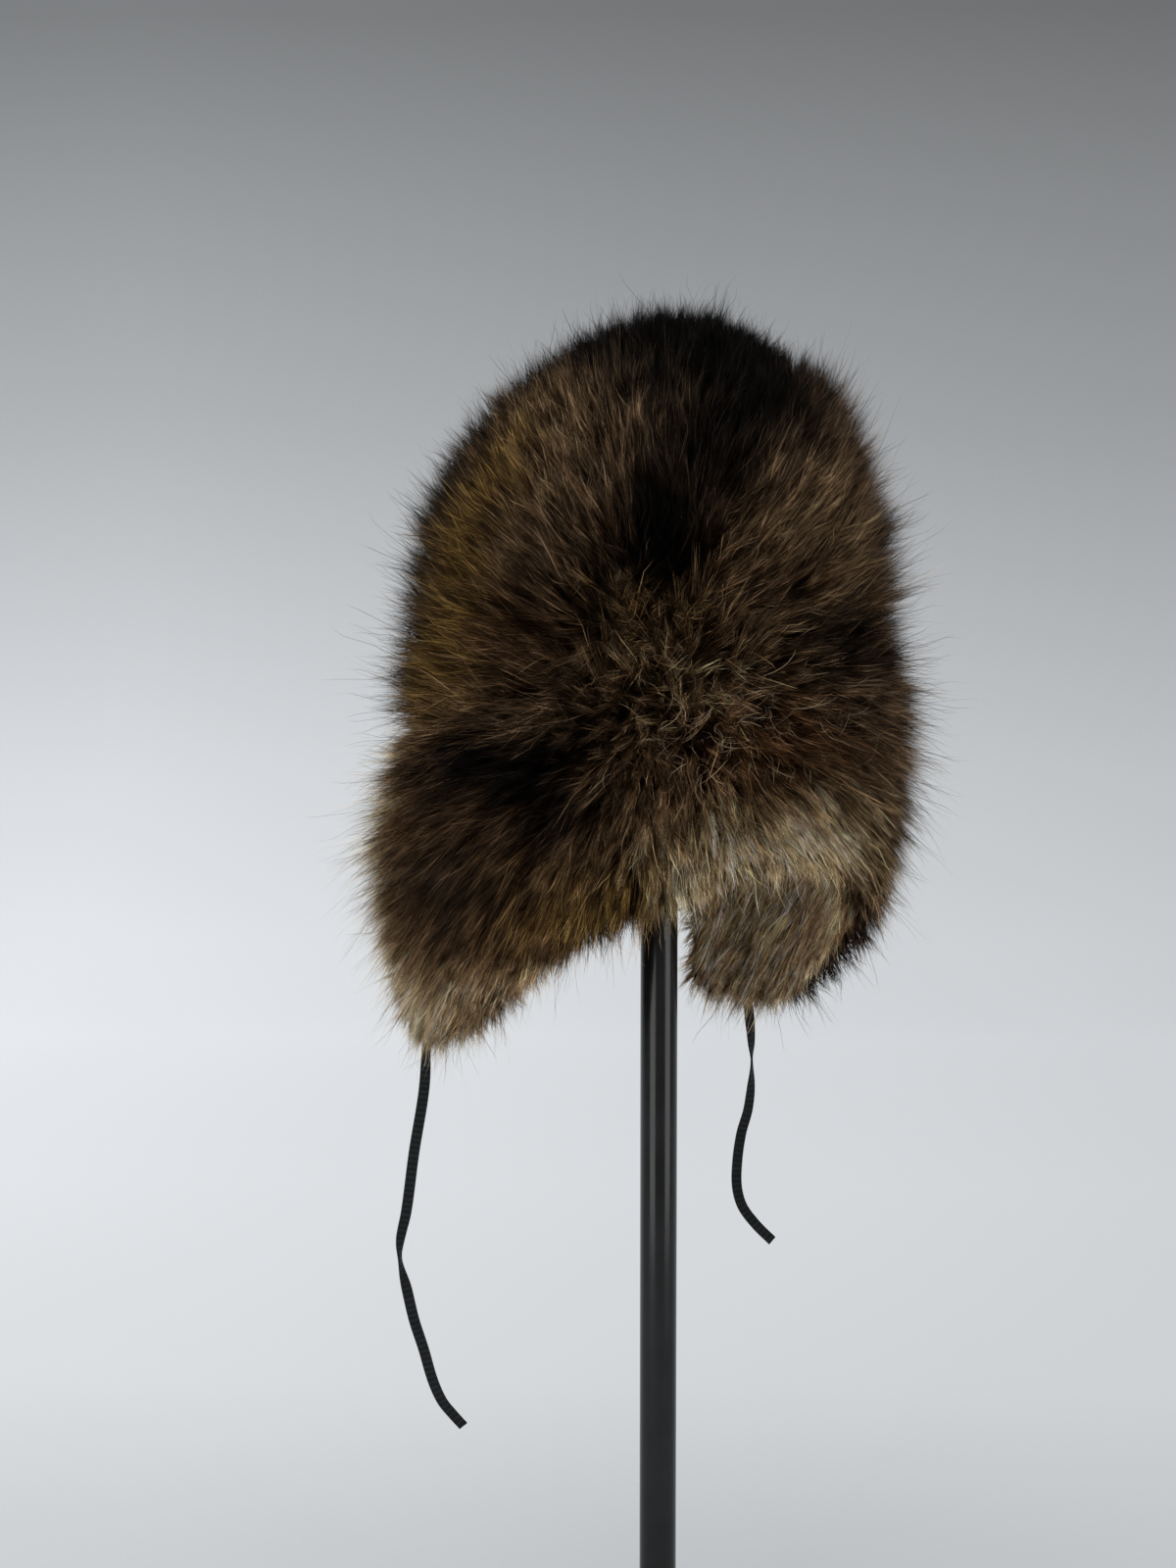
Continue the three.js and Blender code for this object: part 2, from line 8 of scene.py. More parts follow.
import bpy
import numpy as np
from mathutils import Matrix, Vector


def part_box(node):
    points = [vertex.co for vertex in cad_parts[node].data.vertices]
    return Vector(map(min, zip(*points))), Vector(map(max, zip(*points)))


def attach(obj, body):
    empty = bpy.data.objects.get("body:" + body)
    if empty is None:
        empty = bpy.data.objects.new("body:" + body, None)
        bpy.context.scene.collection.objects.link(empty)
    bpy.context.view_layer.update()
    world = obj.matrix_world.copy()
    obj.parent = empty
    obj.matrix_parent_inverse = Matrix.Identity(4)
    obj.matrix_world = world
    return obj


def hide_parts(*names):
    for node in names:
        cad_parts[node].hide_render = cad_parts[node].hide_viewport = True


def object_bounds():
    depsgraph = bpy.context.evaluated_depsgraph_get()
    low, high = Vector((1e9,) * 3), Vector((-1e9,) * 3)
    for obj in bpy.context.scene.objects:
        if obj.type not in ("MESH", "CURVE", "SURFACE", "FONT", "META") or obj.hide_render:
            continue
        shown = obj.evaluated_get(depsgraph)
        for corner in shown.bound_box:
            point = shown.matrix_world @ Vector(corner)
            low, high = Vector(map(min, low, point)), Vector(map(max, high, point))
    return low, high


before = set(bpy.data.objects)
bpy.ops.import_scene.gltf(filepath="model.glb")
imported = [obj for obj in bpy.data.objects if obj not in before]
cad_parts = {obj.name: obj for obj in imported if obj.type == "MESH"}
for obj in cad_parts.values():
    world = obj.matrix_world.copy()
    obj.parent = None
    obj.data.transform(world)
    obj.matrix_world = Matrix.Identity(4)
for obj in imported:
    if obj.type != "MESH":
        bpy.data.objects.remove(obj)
cad_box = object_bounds()

bl_info = {
    "name": "Fur Ushanka",
    "version": (1, 0, 0),
    "blender": (4, 5, 0),
    "location": "View3D > Sidebar > Ushanka",
    "description": "Dresses the fur ushanka hat and the stand that holds it",
    "category": "Object",
}

# The hat's sizes, in metres, as in the part's source
BROW_HEIGHT = 0.512
BROW_BAND = 0.041
DOME_RISE = 0.145
EAR_FLAP_LENGTH = 0.152
DOME_ROUNDNESS = 2.15
CROWN_WIDTH = 0.188
CROWN_LENGTH = 0.222
CROWN_WALL = 0.003
FLAP_WALL = 0.004
FLAP_FRONT_ANGLE = 131
NECK_FLAP_ANGLE = 42
VISOR_ANGLE = 43
VISOR_WALL = 0.004
CROWN_FUR_PACKED = 0.016
CROWN_FUR_LOCK = 0.016
BAND_FUR_PACKED = 0.022
BAND_FUR_LOCK = 0.020
INNER_FUR_PACKED = 0.006
INNER_FUR_LOCK = 0.013
VISOR_FUR_PACKED = 0.013
VISOR_FUR_LOCK = 0.017
GAP = 0.0003
FUR_GAP = 0.0008
VISOR_BACK_GAP = 0.0013
SEAM_OVERLAP = 0.0002
WALL_SET_BACK = 0.0011
VISOR_GAP = 0.003
DOME_FOOT = BROW_HEIGHT + BROW_BAND
FLAP_TIP = BROW_HEIGHT - EAR_FLAP_LENGTH

# A place up the hat is 0 at the tips of the ear flaps, 1 at the foot of the dome and 2 at the dome's top
MIDDLE = {
    "up": (-0.052, 0.466, 1.048, 1.462, 1.772, 2.083),
    "x": (0.0426, 0.0532, 0.0638, 0.0532, -0.0106, -0.1064),
    "y": (-0.027, -0.036, -0.036, -0.027, 0.009, 0.054),
}
SECTIONS = {
    "up": (-0.052, 0.207, 0.466, 0.725, 1.0),
    "width": (1.04, 1.08, 1.1, 1.06, 1.0),
    "back": (1.0, 1.03, 1.06, 1.04, 1.0),
    "front": (2.1, 2.0, 1.6, 1.15, 1.0),
}
SEAM = {
    "angle": (-180, -150, -134, -110, -80, -56, -30, -10, 17, 40, 62, 90, 120, 134, 150, 180),
    "seam": (0, 0.028, 0.097, 0.234, 0.372, 0.428, 0.359, 0.276, 0.166, 0.069, -0.028, -0.021, 0.014, 0, -0.007, 0),
    "fur": (
        0.497, 0.469, 0.193, 0.234, 0.372, 0.428, 0.359, 0.276, 0.166, 0.069, -0.028, -0.021, 0.014, 0.11, 0.455,
        0.497,
    ),
}
RIM = {
    "angle": (0, 14, 28, 45, 68, 90, 106, 120, 131),
    "drop": (0.362, 0.382, 0.461, 0.572, 0.75, 0.921, 0.987, 1, 0.967),
}
FOLDS = {
    "angle": (-50, -56, 40),
    "rise": (0.872, 0.795, 0.945),
    "depth": (-0.85, 0.62, 0.19),
    "spread": (0.95, 1.15, 1.88),
}
BAND_FUR = {
    "along": (0, 0.18, 0.45, 0.75, 1),
    "packed": (0.45, 0.85, 1.0, 0.85, 0.5),
    "lock": (1.15, 1.2, 1.05, 0.72, 0.5),
    "down": (-0.1, 0.1, 0.3, 0.5, 0.8),
}

# The crown's hair is longest low down, where it stands out over the seam
CROWN_HAIR = {"along": (0, 0.25, 0.45, 0.7, 1), "lock": (2.1, 1.9, 1.4, 1.1, 0.9)}
# The neck flap's hair turns down less than the ear flaps' towards the rim
NECK_DOWN = {"along": (0, 0.18, 0.45, 0.75, 1), "down": (-0.1, 0.05, 0.2, 0.4, 0.7)}

# The routes of the two ties, in metres
TIE_LEFT = (
    (0.0970, -0.0690, 0.3613), (0.0978, -0.0696, 0.3500), (0.0990, -0.0704, 0.3220), (0.1035, -0.0735, 0.2880),
    (0.1070, -0.0758, 0.2570), (0.1098, -0.0776, 0.2410), (0.1098, -0.0776, 0.2300), (0.1070, -0.0756, 0.2150),
    (0.1040, -0.0735, 0.1990), (0.1000, -0.0710, 0.1840), (0.0960, -0.0683, 0.1670), (0.0920, -0.0656, 0.1560),
    (0.0874, -0.0626, 0.1490), (0.0827, -0.0594, 0.1427),
)
TIE_RIGHT = (
    (-0.0907, -0.0482, 0.3599), (-0.0922, -0.0482, 0.3500), (-0.0937, -0.0476, 0.3320), (-0.0938, -0.0473, 0.3100),
    (-0.0924, -0.0483, 0.2930), (-0.0893, -0.0504, 0.2790), (-0.0875, -0.0516, 0.2630), (-0.0874, -0.0516, 0.2490),
    (-0.0900, -0.0500, 0.2380), (-0.0960, -0.0458, 0.2280), (-0.1038, -0.0406, 0.2186),
)
# How the ties turn about their own line, in degrees from flat on, by share of their length
TWIST_LEFT = {"along": (0, 0.06, 0.16, 0.4, 0.52, 0.58, 0.66, 1), "turn": (78, 55, 18, 8, 35, 84, 20, -12)}
TWIST_RIGHT = {"along": (0, 0.1, 0.2, 0.27, 0.4, 0.7, 1), "turn": (60, 20, 50, 86, 30, 5, 25)}

# Where the hair parts in a whorl on the seam, from which all hair leans away, most where it is far from the whorl
WHORL_ANGLE = 29
WHORL_HEIGHT = 0.532
WHORL_REACH = 0.105
WHORL_LEAN = 0.86
WHORL_RUFFLED = 0.035
# The middle and half the spread of the side with the densest hair
DENSE_ANGLE = 34
DENSE_SPREAD = 96
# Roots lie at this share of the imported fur, and hair stands at most this far outside the part's own box
ROOT_DEPTH = 0.38
HAIR_REACH = (0.0165, 0.0165, 0.026)
# Where the long curly hairs lie: angle, height, and how far they spread in each
CURLS_AT = (13, 0.511, 19, 0.017)

# What a patch of fur holds at each point, by its place in the last axis
SKIN, OUT, SIDE, ANGLE, PACKED, FACTS = slice(0, 3), slice(3, 6), slice(6, 9), 9, slice(10, 11), slice(9, 15)
DOWN = np.array((0.0, 0.0, -1.0))

# The photo's camera stands behind the hat and to its left: degrees from the front, metres, and a lens in millimetres
CAMERA_AZIMUTH = 146
CAMERA_DISTANCE = 1.2
CAMERA_HEIGHT = 0.57
CAMERA_LENS = 54.11
CAMERA_TURN = 1.74
CAMERA_PITCH = 4.28

# The middle of the hat, at which the lights aim, and the colour of their light
LIGHT_AIM = (0, 0, 0.53)
LIGHT_COLOUR = (1.0, 0.985, 0.965)

# Colours of the pelts at the tips of their hair, which gets darker and browner towards its root: partly the underfur's
# own colour, partly painted shade deep in the fur
COATS = {
    "grey_brown": (0.150, 0.100, 0.060),
    "dark_brown": (0.048, 0.031, 0.019),
    "black": (0.0060, 0.0048, 0.0042),
    "brown": (0.150, 0.086, 0.040),
    "golden": (0.190, 0.118, 0.036),
    "rust": (0.120, 0.062, 0.028),
    "tan": (0.300, 0.196, 0.108),
    "cream": (0.770, 0.525, 0.280),
    "buff": (0.660, 0.395, 0.205),
}
# Where each coat shows, by angle and height, with how far it spreads and how much of it there is. A few dark coats
# along the seam on the wearer's right are painted shade in the crease under the crown.
CROWN_COAT = (
    ("tan", 58, 0.646, 20, 0.034, 0.50),
    ("golden", 82, 0.628, 14, 0.036, 1.00),
    ("golden", 88, 0.575, 13, 0.040, 1.25),
    ("golden", 97, 0.536, 17, 0.018, 1.10),
    ("dark_brown", 113, 0.604, 11, 0.054, 1.10),
    ("golden", 34, 0.568, 14, 0.012, 0.50),
    ("tan", 28, 0.540, 16, 0.018, 1.00),
    ("tan", 0, 0.604, 25, 0.044, 0.68),
    ("rust", 64, 0.556, 14, 0.018, 0.60),
    ("dark_brown", 2, 0.580, 9, 0.012, 0.55),
    ("dark_brown", 146, 0.600, 26, 0.100, 0.95),
    ("dark_brown", 124, 0.648, 15, 0.050, 1.00),
    ("dark_brown", -58, 0.610, 16, 0.060, 0.85),
    # These five darken the crease under the crown on the wearer's right, over the flap: painted shade, not the pelt's
    # colour
    ("black", -54, 0.578, 12, 0.024, 0.80),
    ("dark_brown", -30, 0.560, 13, 0.011, 0.75),
    ("black", -42, 0.580, 8, 0.024, 0.90),
    ("black", -28, 0.558, 17, 0.007, 1.10),
    ("black", -9, 0.557, 9, 0.008, 1.15),
    ("black", 2, 0.662, 21, 0.020, 1.00),
    ("golden", -150, 0.640, 30, 0.030, 0.45),
    ("tan", -104, 0.640, 22, 0.040, 0.45),
    ("black", 30, 0.706, 400, 0.022, 1.20),
    ("black", 12, 0.682, 34, 0.017, 1.10),
    ("black", 19, 0.643, 17, 0.021, 1.05),
    ("dark_brown", 26, 0.622, 14, 0.018, 0.80),
    ("black", 31, 0.606, 8, 0.024, 1.25),
)
BAND_COAT = (
    ("brown", 86, 0.440, 60, 0.070, 0.80),
    ("tan", 108, 0.378, 28, 0.024, 1.00),
    ("buff", 66, 0.394, 30, 0.014, 0.80),
    ("cream", 112, 0.370, 30, 0.018, 0.90),
    ("cream", 131, 0.440, 15, 0.090, 1.10),
    ("dark_brown", 84, 0.440, 20, 0.028, 0.95),
    ("tan", 28, 0.520, 15, 0.017, 0.90),
    ("black", 80, 0.502, 20, 0.023, 1.25),
    ("black", 58, 0.488, 13, 0.028, 1.15),
    ("dark_brown", 36, 0.488, 12, 0.014, 0.45),
    ("rust", 8, 0.508, 17, 0.016, 1.10),
    # These two darken the band just under the crease below the crown on the wearer's right: painted shade, not the
    # pelt's colour
    ("dark_brown", -26, 0.545, 17, 0.009, 0.90),
    ("black", -11, 0.546, 9, 0.007, 0.90),
    ("golden", 44, 0.432, 18, 0.015, 0.90),
    ("cream", 22, 0.442, 14, 0.013, 0.85),
    ("tan", 3, 0.463, 27, 0.023, 1.15),
    ("cream", 4, 0.461, 23, 0.017, 1.00),
    ("tan", -30, 0.452, 13, 0.030, 0.80),
    ("golden", 39, 0.438, 8, 0.014, 0.90),
    ("black", -54, 0.474, 12, 0.036, 0.85),
    ("dark_brown", -86, 0.450, 22, 0.090, 0.95),
    ("black", -88, 0.400, 14, 0.050, 0.75),
    ("cream", -128, 0.430, 15, 0.110, 1.10),
)
INNER_COAT = (
    ("tan", -70, 0.430, 400, 0.300, 0.80),
    ("buff", -100, 0.420, 50, 0.120, 1.00),
    ("cream", -120, 0.420, 20, 0.120, 0.40),
    ("brown", -108, 0.440, 16, 0.020, 0.45),
)
VISOR_COAT = (
    ("black", 180, 0.560, 30, 0.014, 0.55),
    ("golden", 160, 0.535, 14, 0.020, 0.50),
    ("cream", 200, 0.520, 16, 0.010, 0.45),
)

# Hairs in each piece of fur
HAIRS = {
    "crown_fur_back_left": 82000,
    "crown_fur_front_left": 24000,
    "crown_fur_front_right": 12000,
    "crown_fur_back_right": 42000,
    "neck_flap_fur": 78000,
    "ear_flap_left_fur": 79000,
    "ear_flap_right_fur": 19000,
    "neck_flap_inner_fur": 6000,
    "ear_flap_left_inner_fur": 6000,
    "ear_flap_right_inner_fur": 30000,
    "visor_fur": 11000,
    "visor_edge": 3000,
    "curls": 170,
}
# Hairs on each edge of a flap: a share of those on the flap, and how many more
EDGE_HAIRS = (0.04, 900)
INNER_EDGE_HAIRS = (0.08, 600)
# Seeds of the random draws, counted up from these where a kind has several pieces
SEEDS = {
    "crown": 11,
    "flap": 31,
    "curls": 41,
    "inner": 51,
    "visor": 61,
    "visor_edge": 62,
    "edge": 71,
    "inner_edge": 81,
}
GORES = {
    "crown_fur_back_left": (-10, 95),
    "crown_fur_front_left": (95, 178),
    "crown_fur_front_right": (178, 262),
    "crown_fur_back_right": (262, 350),
}
FLAPS = {
    "neck_flap": (-NECK_FLAP_ANGLE, NECK_FLAP_ANGLE),
    "ear_flap_left": (NECK_FLAP_ANGLE, FLAP_FRONT_ANGLE),
    "ear_flap_right": (-FLAP_FRONT_ANGLE, -NECK_FLAP_ANGLE),
}
FUR_SLOTS = {
    "crown_fur_back_left": "fur_golden",
    "crown_fur_front_left": "fur_dark",
    "crown_fur_front_right": "fur_dark",
    "crown_fur_back_right": "fur_brown",
    "neck_flap_fur": "fur_golden",
    "ear_flap_left_fur": "fur_brown",
    "ear_flap_right_fur": "fur_brown",
    "neck_flap_inner_fur": "fur_cream",
    "ear_flap_left_inner_fur": "fur_cream",
    "ear_flap_right_inner_fur": "fur_cream",
    "visor_fur": "fur_brown",
}

Fac, Length, Colour = "FACTOR", "LENGTH", "COLOR"


class UshankaFur(bpy.types.PropertyGroup):
    """The hat's fur"""

    hair_width: bpy.props.FloatProperty(
        name="Hair Width", description="Width of one hair at its root", default=0.00024, min=0.0001, unit=Length
    )
    hair_length: bpy.props.FloatProperty(
        name="Hair Length", description="Length as a share of the pelts' own", default=1.0, min=0.3, max=1.2
    )
    wisp_size: bpy.props.FloatProperty(
        name="Wisp Size", description="Distance between the tips of two wisps", default=0.0026, min=0.002, unit=Length
    )
    tuft_size: bpy.props.FloatProperty(
        name="Tuft Size", description="Distance between two tufts of wisps", default=0.0100, min=0.005, unit=Length
    )
    clumping: bpy.props.FloatProperty(
        name="Clumping", description="How far the hairs of a wisp close up at its tip", default=0.78, min=0, max=1
    )
    brightness: bpy.props.FloatProperty(
        name="Brightness", description="Lightness of all the coats", default=1.54, min=0.1, max=3
    )
    dark_hairs: bpy.props.FloatProperty(
        name="Dark Hairs", description="Share of hairs that are dark to their tips", default=0.5, min=0, max=1
    )
    guard_hairs: bpy.props.FloatProperty(
        name="Guard Hairs", description="Share of long stray hairs", default=0.045, min=0, max=0.3
    )


class UshankaTies(bpy.types.PropertyGroup):
    """The two ribbon ties"""

    width: bpy.props.FloatProperty(name="Width", description="Width of a tie", default=0.0056, unit=Length)
    thickness: bpy.props.FloatProperty(name="Thickness", description="Thickness of a tie", default=0.0011, unit=Length)
    colour: bpy.props.FloatVectorProperty(
        name="Colour", description="Colour of the ribbon", default=(0.0050, 0.0062, 0.0070), size=3, subtype=Colour
    )


class UshankaSkin(bpy.types.PropertyGroup):
    """The padded skin under the fur"""

    colour: bpy.props.FloatVectorProperty(
        name="Colour", description="Colour of the skin side", default=(0.060, 0.036, 0.022), size=3, subtype=Colour
    )


class UshankaStand(bpy.types.PropertyGroup):
    """The stand"""

    colour: bpy.props.FloatVectorProperty(
        name="Colour", description="Colour of the stand", default=(0.0045, 0.0046, 0.0050), size=3, subtype=Colour
    )
    roughness: bpy.props.FloatProperty(
        name="Roughness", description="Roughness of the stand's finish", default=0.13, min=0, max=1, subtype=Fac
    )


class UshankaStage(bpy.types.PropertyGroup):
    """The studio"""

    backdrop: bpy.props.FloatVectorProperty(
        name="Backdrop", description="Colour of the paper backdrop", default=(0.80, 0.82, 0.84), size=3, subtype=Colour
    )
    sky: bpy.props.FloatProperty(name="Fill", description="Strength of the light from all round", default=0.30, min=0)
    # The paper glows with this strength though it is no lamp: painted light, which also lights the hat from behind
    glow: bpy.props.FloatProperty(
        name="Backdrop Light", description="Light that reaches the backdrop alone", default=0.50, min=0
    )
    side_light: bpy.props.FloatProperty(
        name="Side Lights", description="Power of the two tall soft lights", default=15.0, min=0, unit="POWER"
    )
    top_light: bpy.props.FloatProperty(
        name="Top Light", description="Power of the light overhead", default=6.0, min=0, unit="POWER"
    )


# The hat's form


def along(table, key, at, column):
    """A smooth curve through one column of a table."""
    keys, values = np.array(table[key], float), np.array(table[column], float)
    slopes = np.empty(len(keys))
    slopes[1:-1] = (values[2:] - values[:-2]) / (keys[2:] - keys[:-2])
    slopes[0] = (values[1] - values[0]) / (keys[1] - keys[0])
    slopes[-1] = (values[-1] - values[-2]) / (keys[-1] - keys[-2])
    at = np.clip(np.asarray(at, float), keys[0], keys[-1])
    i = np.clip(np.searchsorted(keys, at, side="right") - 1, 0, len(keys) - 2)
    width = keys[i + 1] - keys[i]
    t = (at - keys[i]) / width
    rise, m0, m1 = values[i + 1] - values[i], slopes[i] * width, slopes[i + 1] * width
    return values[i] + t * (m0 + t * (3 * rise - 2 * m0 - m1 + t * (m0 + m1 - 2 * rise)))


def turned(angle):
    """An angle from -180 to 180."""
    return (np.asarray(angle, float) + 180) % 360 - 180


def seam_height(angle):
    """The height of the seam under the crown."""
    return BROW_HEIGHT + DOME_RISE * along(SEAM, "angle", turned(angle), "seam")


def fur_line(angle):
    """The height where the crown's fur starts."""
    return np.maximum(BROW_HEIGHT + DOME_RISE * along(SEAM, "angle", turned(angle), "fur"), seam_height(angle))


def rim_height(angle):
    """The height of the flaps' lower edge."""
    return BROW_HEIGHT - EAR_FLAP_LENGTH * along(RIM, "angle", np.abs(turned(angle)), "drop")


def place_up(height):
    """How far up the hat a height lies."""
    low = (height - FLAP_TIP) / (DOME_FOOT - FLAP_TIP)
    return np.where(height <= DOME_FOOT, low, 1 + (height - DOME_FOOT) / DOME_RISE)


def reach(angle, height):
    """The distance from the hat's middle to its skin, below the dome."""
    a = np.radians(angle)
    up = place_up(np.asarray(height, float))
    half = CROWN_WIDTH / 2 * along(SECTIONS, "up", up, "width")
    share = np.where(np.cos(a) > 0, along(SECTIONS, "up", up, "back"), along(SECTIONS, "up", up, "front"))
    return 1 / np.hypot(np.sin(a) / half, np.cos(a) / (CROWN_LENGTH / 2 * share))


def placed(angle, height, distance):
    """The point at an angle, a height and a distance from the hat's middle."""
    a = np.radians(angle)
    up = place_up(np.asarray(height, float))
    x = CROWN_WIDTH / 2 * along(MIDDLE, "up", up, "x") + distance * np.sin(a)
    y = CROWN_LENGTH / 2 * along(MIDDLE, "up", up, "y") + distance * np.cos(a)
    return np.stack(np.broadcast_arrays(x, y, height), -1)


def crown_place(angle, height):
    """The point of the dome's skin at an angle and a height."""
    share = np.clip((height - DOME_FOOT) / DOME_RISE, 0, 1)
    return placed(angle, height, reach(angle, DOME_FOOT) * (1 - share**DOME_ROUNDNESS) ** (1 / DOME_ROUNDNESS))


def crown_column(angle, low, shares):
    """Points of the skin from a low height to the dome's top, by shares of that line's length."""
    straight = max(DOME_FOOT - low, 0)
    start = math.asin(((low - DOME_FOOT) / DOME_RISE) ** (DOME_ROUNDNESS / 2)) if low > DOME_FOOT else 0
    t = np.linspace(start, math.pi / 2, 49)
    z = DOME_FOOT + DOME_RISE * np.sin(t) ** (2 / DOME_ROUNDNESS)
    distance = reach(angle, DOME_FOOT) * np.maximum(np.cos(t), 0) ** (2 / DOME_ROUNDNESS)
    distance[-1] = 0
    line = placed(angle, z, distance)
    if straight > 0:
        heights = low + straight * np.arange(8) / 8
        line = np.concatenate([placed(angle, heights, reach(angle, heights)), line])
    run = np.concatenate([[0], np.cumsum(np.linalg.norm(np.diff(line, axis=0), axis=1))])
    wanted = np.asarray(shares) * run[-1]
    return np.stack([np.interp(wanted, run, line[:, k]) for k in range(3)], -1)


def level(p):
    """How far outside the skin a point is, as a level."""
    z = p[..., 2]
    up = place_up(z)
    dx = p[..., 0] - CROWN_WIDTH / 2 * along(MIDDLE, "up", up, "x")
    dy = p[..., 1] - CROWN_LENGTH / 2 * along(MIDDLE, "up", up, "y")
    angle = bearing(p)
    out = np.hypot(dx, dy) / reach(angle, np.minimum(z, DOME_FOOT))
    rise = np.maximum((z - DOME_FOOT) / DOME_RISE, 0)
    domed = (out**DOME_ROUNDNESS + rise**DOME_ROUNDNESS) ** (1 / DOME_ROUNDNESS)
    return np.where(z <= DOME_FOOT, out, domed)


def bearing(p):
    """The angle at which each point lies round the hat."""
    up = place_up(p[..., 2])
    dx = p[..., 0] - CROWN_WIDTH / 2 * along(MIDDLE, "up", up, "x")
    dy = p[..., 1] - CROWN_LENGTH / 2 * along(MIDDLE, "up", up, "y")
    return np.degrees(np.arctan2(dx, dy))


def unit(v):
    """The same directions at length one."""
    return v / np.maximum(np.linalg.norm(v, axis=-1, keepdims=True), 1e-12)


def outward(p):
    """The way out of the skin at each point."""
    e = 0.0005
    return unit(np.stack([level(p + e * axis) - level(p - e * axis) for axis in np.eye(3)], -1))


# Patches of fur: a grid of skin with what grows on it


def patch(skin, out, angle, packed, lock, down, lean, away):
    """Gathers a grid's skin, its way out, and its fur into one array."""
    side = unit(np.cross(np.array((0.0, 0.0, 1.0)), out))
    side = np.where((np.abs(out[..., 2:3]) > 0.999), np.array((1.0, 0.0, 0.0)), -side)
    facts = np.stack(np.broadcast_arrays(angle, packed, lock, down, lean, away), -1)
    return np.concatenate([skin, out, side, facts], -1)


def crown_patch(start, end, columns=34, rows=32):
    """A gore of the crown, with its fur parted along the seams."""
    f = np.linspace(0, 1, columns + 1)
    shares = np.linspace(0, 0.988, rows + 1)
    angles = start + (end - start) * f
    angles[0] += 0.12
    angles[-1] -= 0.12
    skin = np.stack([crown_column(a, fur_line(a) + SEAM_OVERLAP, shares) for a in angles])
    swell = (np.sin(math.pi * f)[:, None] ** 0.6) * np.sin(math.pi * np.minimum(shares * 0.85 + 0.1, 1))[None] ** 0.5
    packed = CROWN_FUR_PACKED * (0.5 + 0.5 * np.maximum(swell, 0.85 * (1 - shares)[None] ** 0.7))
    lock = CROWN_FUR_LOCK * along(CROWN_HAIR, "along", shares, "lock")[None] * np.ones_like(packed)
    for angle, rise, depth, spread in zip(*FOLDS.values()):
        centre = crown_place(angle, DOME_FOOT + DOME_RISE * rise)
        near = np.exp(-((skin - centre) ** 2).sum(-1) / (2 * (CROWN_FUR_PACKED * spread) ** 2))
        packed = packed + CROWN_FUR_PACKED * depth * near
        lock = lock * (1 + 0.8 * depth * near)
    packed = np.maximum(packed, 0.004)
    return patch(skin, outward(skin), angles[:, None] + 0 * shares, packed, lock, -0.2, 0, 1)


def flap_skin(start, end, columns, rows, inset=0.12):
    """Angles, shares and skin of a flap from the seam down to its rim."""
    angles = np.linspace(start, end, columns + 1)
    angles[0] += inset
    angles[-1] -= inset
    shares = np.linspace(0, 1, rows + 1)
    top = seam_height(angles) - SEAM_OVERLAP
    heights = top[:, None] + (rim_height(angles) - top)[:, None] * shares[None]
    grid = angles[:, None] + 0 * shares
    return grid, shares, placed(grid, heights, reach(grid, heights))


def flap_patch(start, end, columns=34, rows=30):
    """The outer fur of a flap, which turns down at the rim and forward at the front edge."""
    angles, shares, skin = flap_skin(start, end, columns, rows)
    front = np.clip((FLAP_FRONT_ANGLE - np.abs(angles)) / 16, 0, 1)
    packed = BAND_FUR_PACKED * along(BAND_FUR, "along", shares, "packed") * (0.45 + 0.55 * np.sqrt(front))
    lean = np.sign(angles) * 1.1 * np.clip(1 - (FLAP_FRONT_ANGLE - np.abs(angles)) / 9, 0, 1) * (1 - 0.7 * shares)
    corner = np.clip(1 - (FLAP_FRONT_ANGLE - np.abs(angles)) / 14, 0, 1) * shares * (angles < 0)
    lock = BAND_FUR_LOCK * along(BAND_FUR, "along", shares, "lock") * (1 - 0.35 * corner)
    down = along(NECK_DOWN if start * end < 0 else BAND_FUR, "along", shares, "down")
    return patch(skin, outward(skin), angles, packed, lock, down, lean, 1)


def inner_patch(start, end, columns=24, rows=20):
    """The inner fur of a flap."""
    angles, shares, skin = flap_skin(start, end, columns, rows)
    out = outward(skin)
    front = np.clip(1 - (FLAP_FRONT_ANGLE - np.abs(angles)) / 12, 0, 1)
    lean = np.sign(angles) * (0.9 + 0.5 * front * (1 - 0.6 * shares)) * (start * end > 0)
    lock = INNER_FUR_LOCK * (1.45 - 0.3 * front * shares)
    down = 1.1 + 0.9 * shares
    return patch(skin - out * (FLAP_WALL + GAP), -out, angles, INNER_FUR_PACKED, lock, down, -lean, 0)


def edge_patches(start, end, inner):
    """The edge of a flap, along its rim and up its front, where hair hides the thickness of the skin."""
    near, far, spread = (-FLAP_WALL - GAP - 0.005, -0.0020, -0.5) if inner else (-0.0024, 0.0070, 0.5)
    depth = np.linspace(near, far, 5)[:, None]
    angles = np.linspace(start + 0.3, end - 0.3, 31)
    low = rim_height(angles) + 0.0006
    skin = placed(angles, low, reach(angles, low))
    out = outward(skin)[:, None]
    splay = spread * np.linspace(0.6, 1.4, 5)[:, None]
    way = unit(DOWN + out * splay)
    lock = 0.017 if inner else 0.020
    made = [patch(skin[:, None] + out * depth, way, angles[:, None] + 0 * depth.T, 0.002, lock, 0, 0, 0)]
    if start * end > 0:
        angle = end - 0.3 if end > 0 else start + 0.3
        heights = np.linspace(seam_height(angle) - 0.001, rim_height(angle), 21)
        skin = placed(angle, heights, reach(angle, heights))
        out = outward(skin)[:, None]
        a = math.radians(angle)
        forward = np.array((math.cos(a), -math.sin(a), 0.0)) * (1 if end > 0 else -1)
        way = unit(forward + 0.9 * DOWN + out * splay)
        made.append(patch(skin[:, None] + out * depth, way, np.full((21, 5), angle), 0.002, lock * 1.1, 0, 0, 0))
    return made


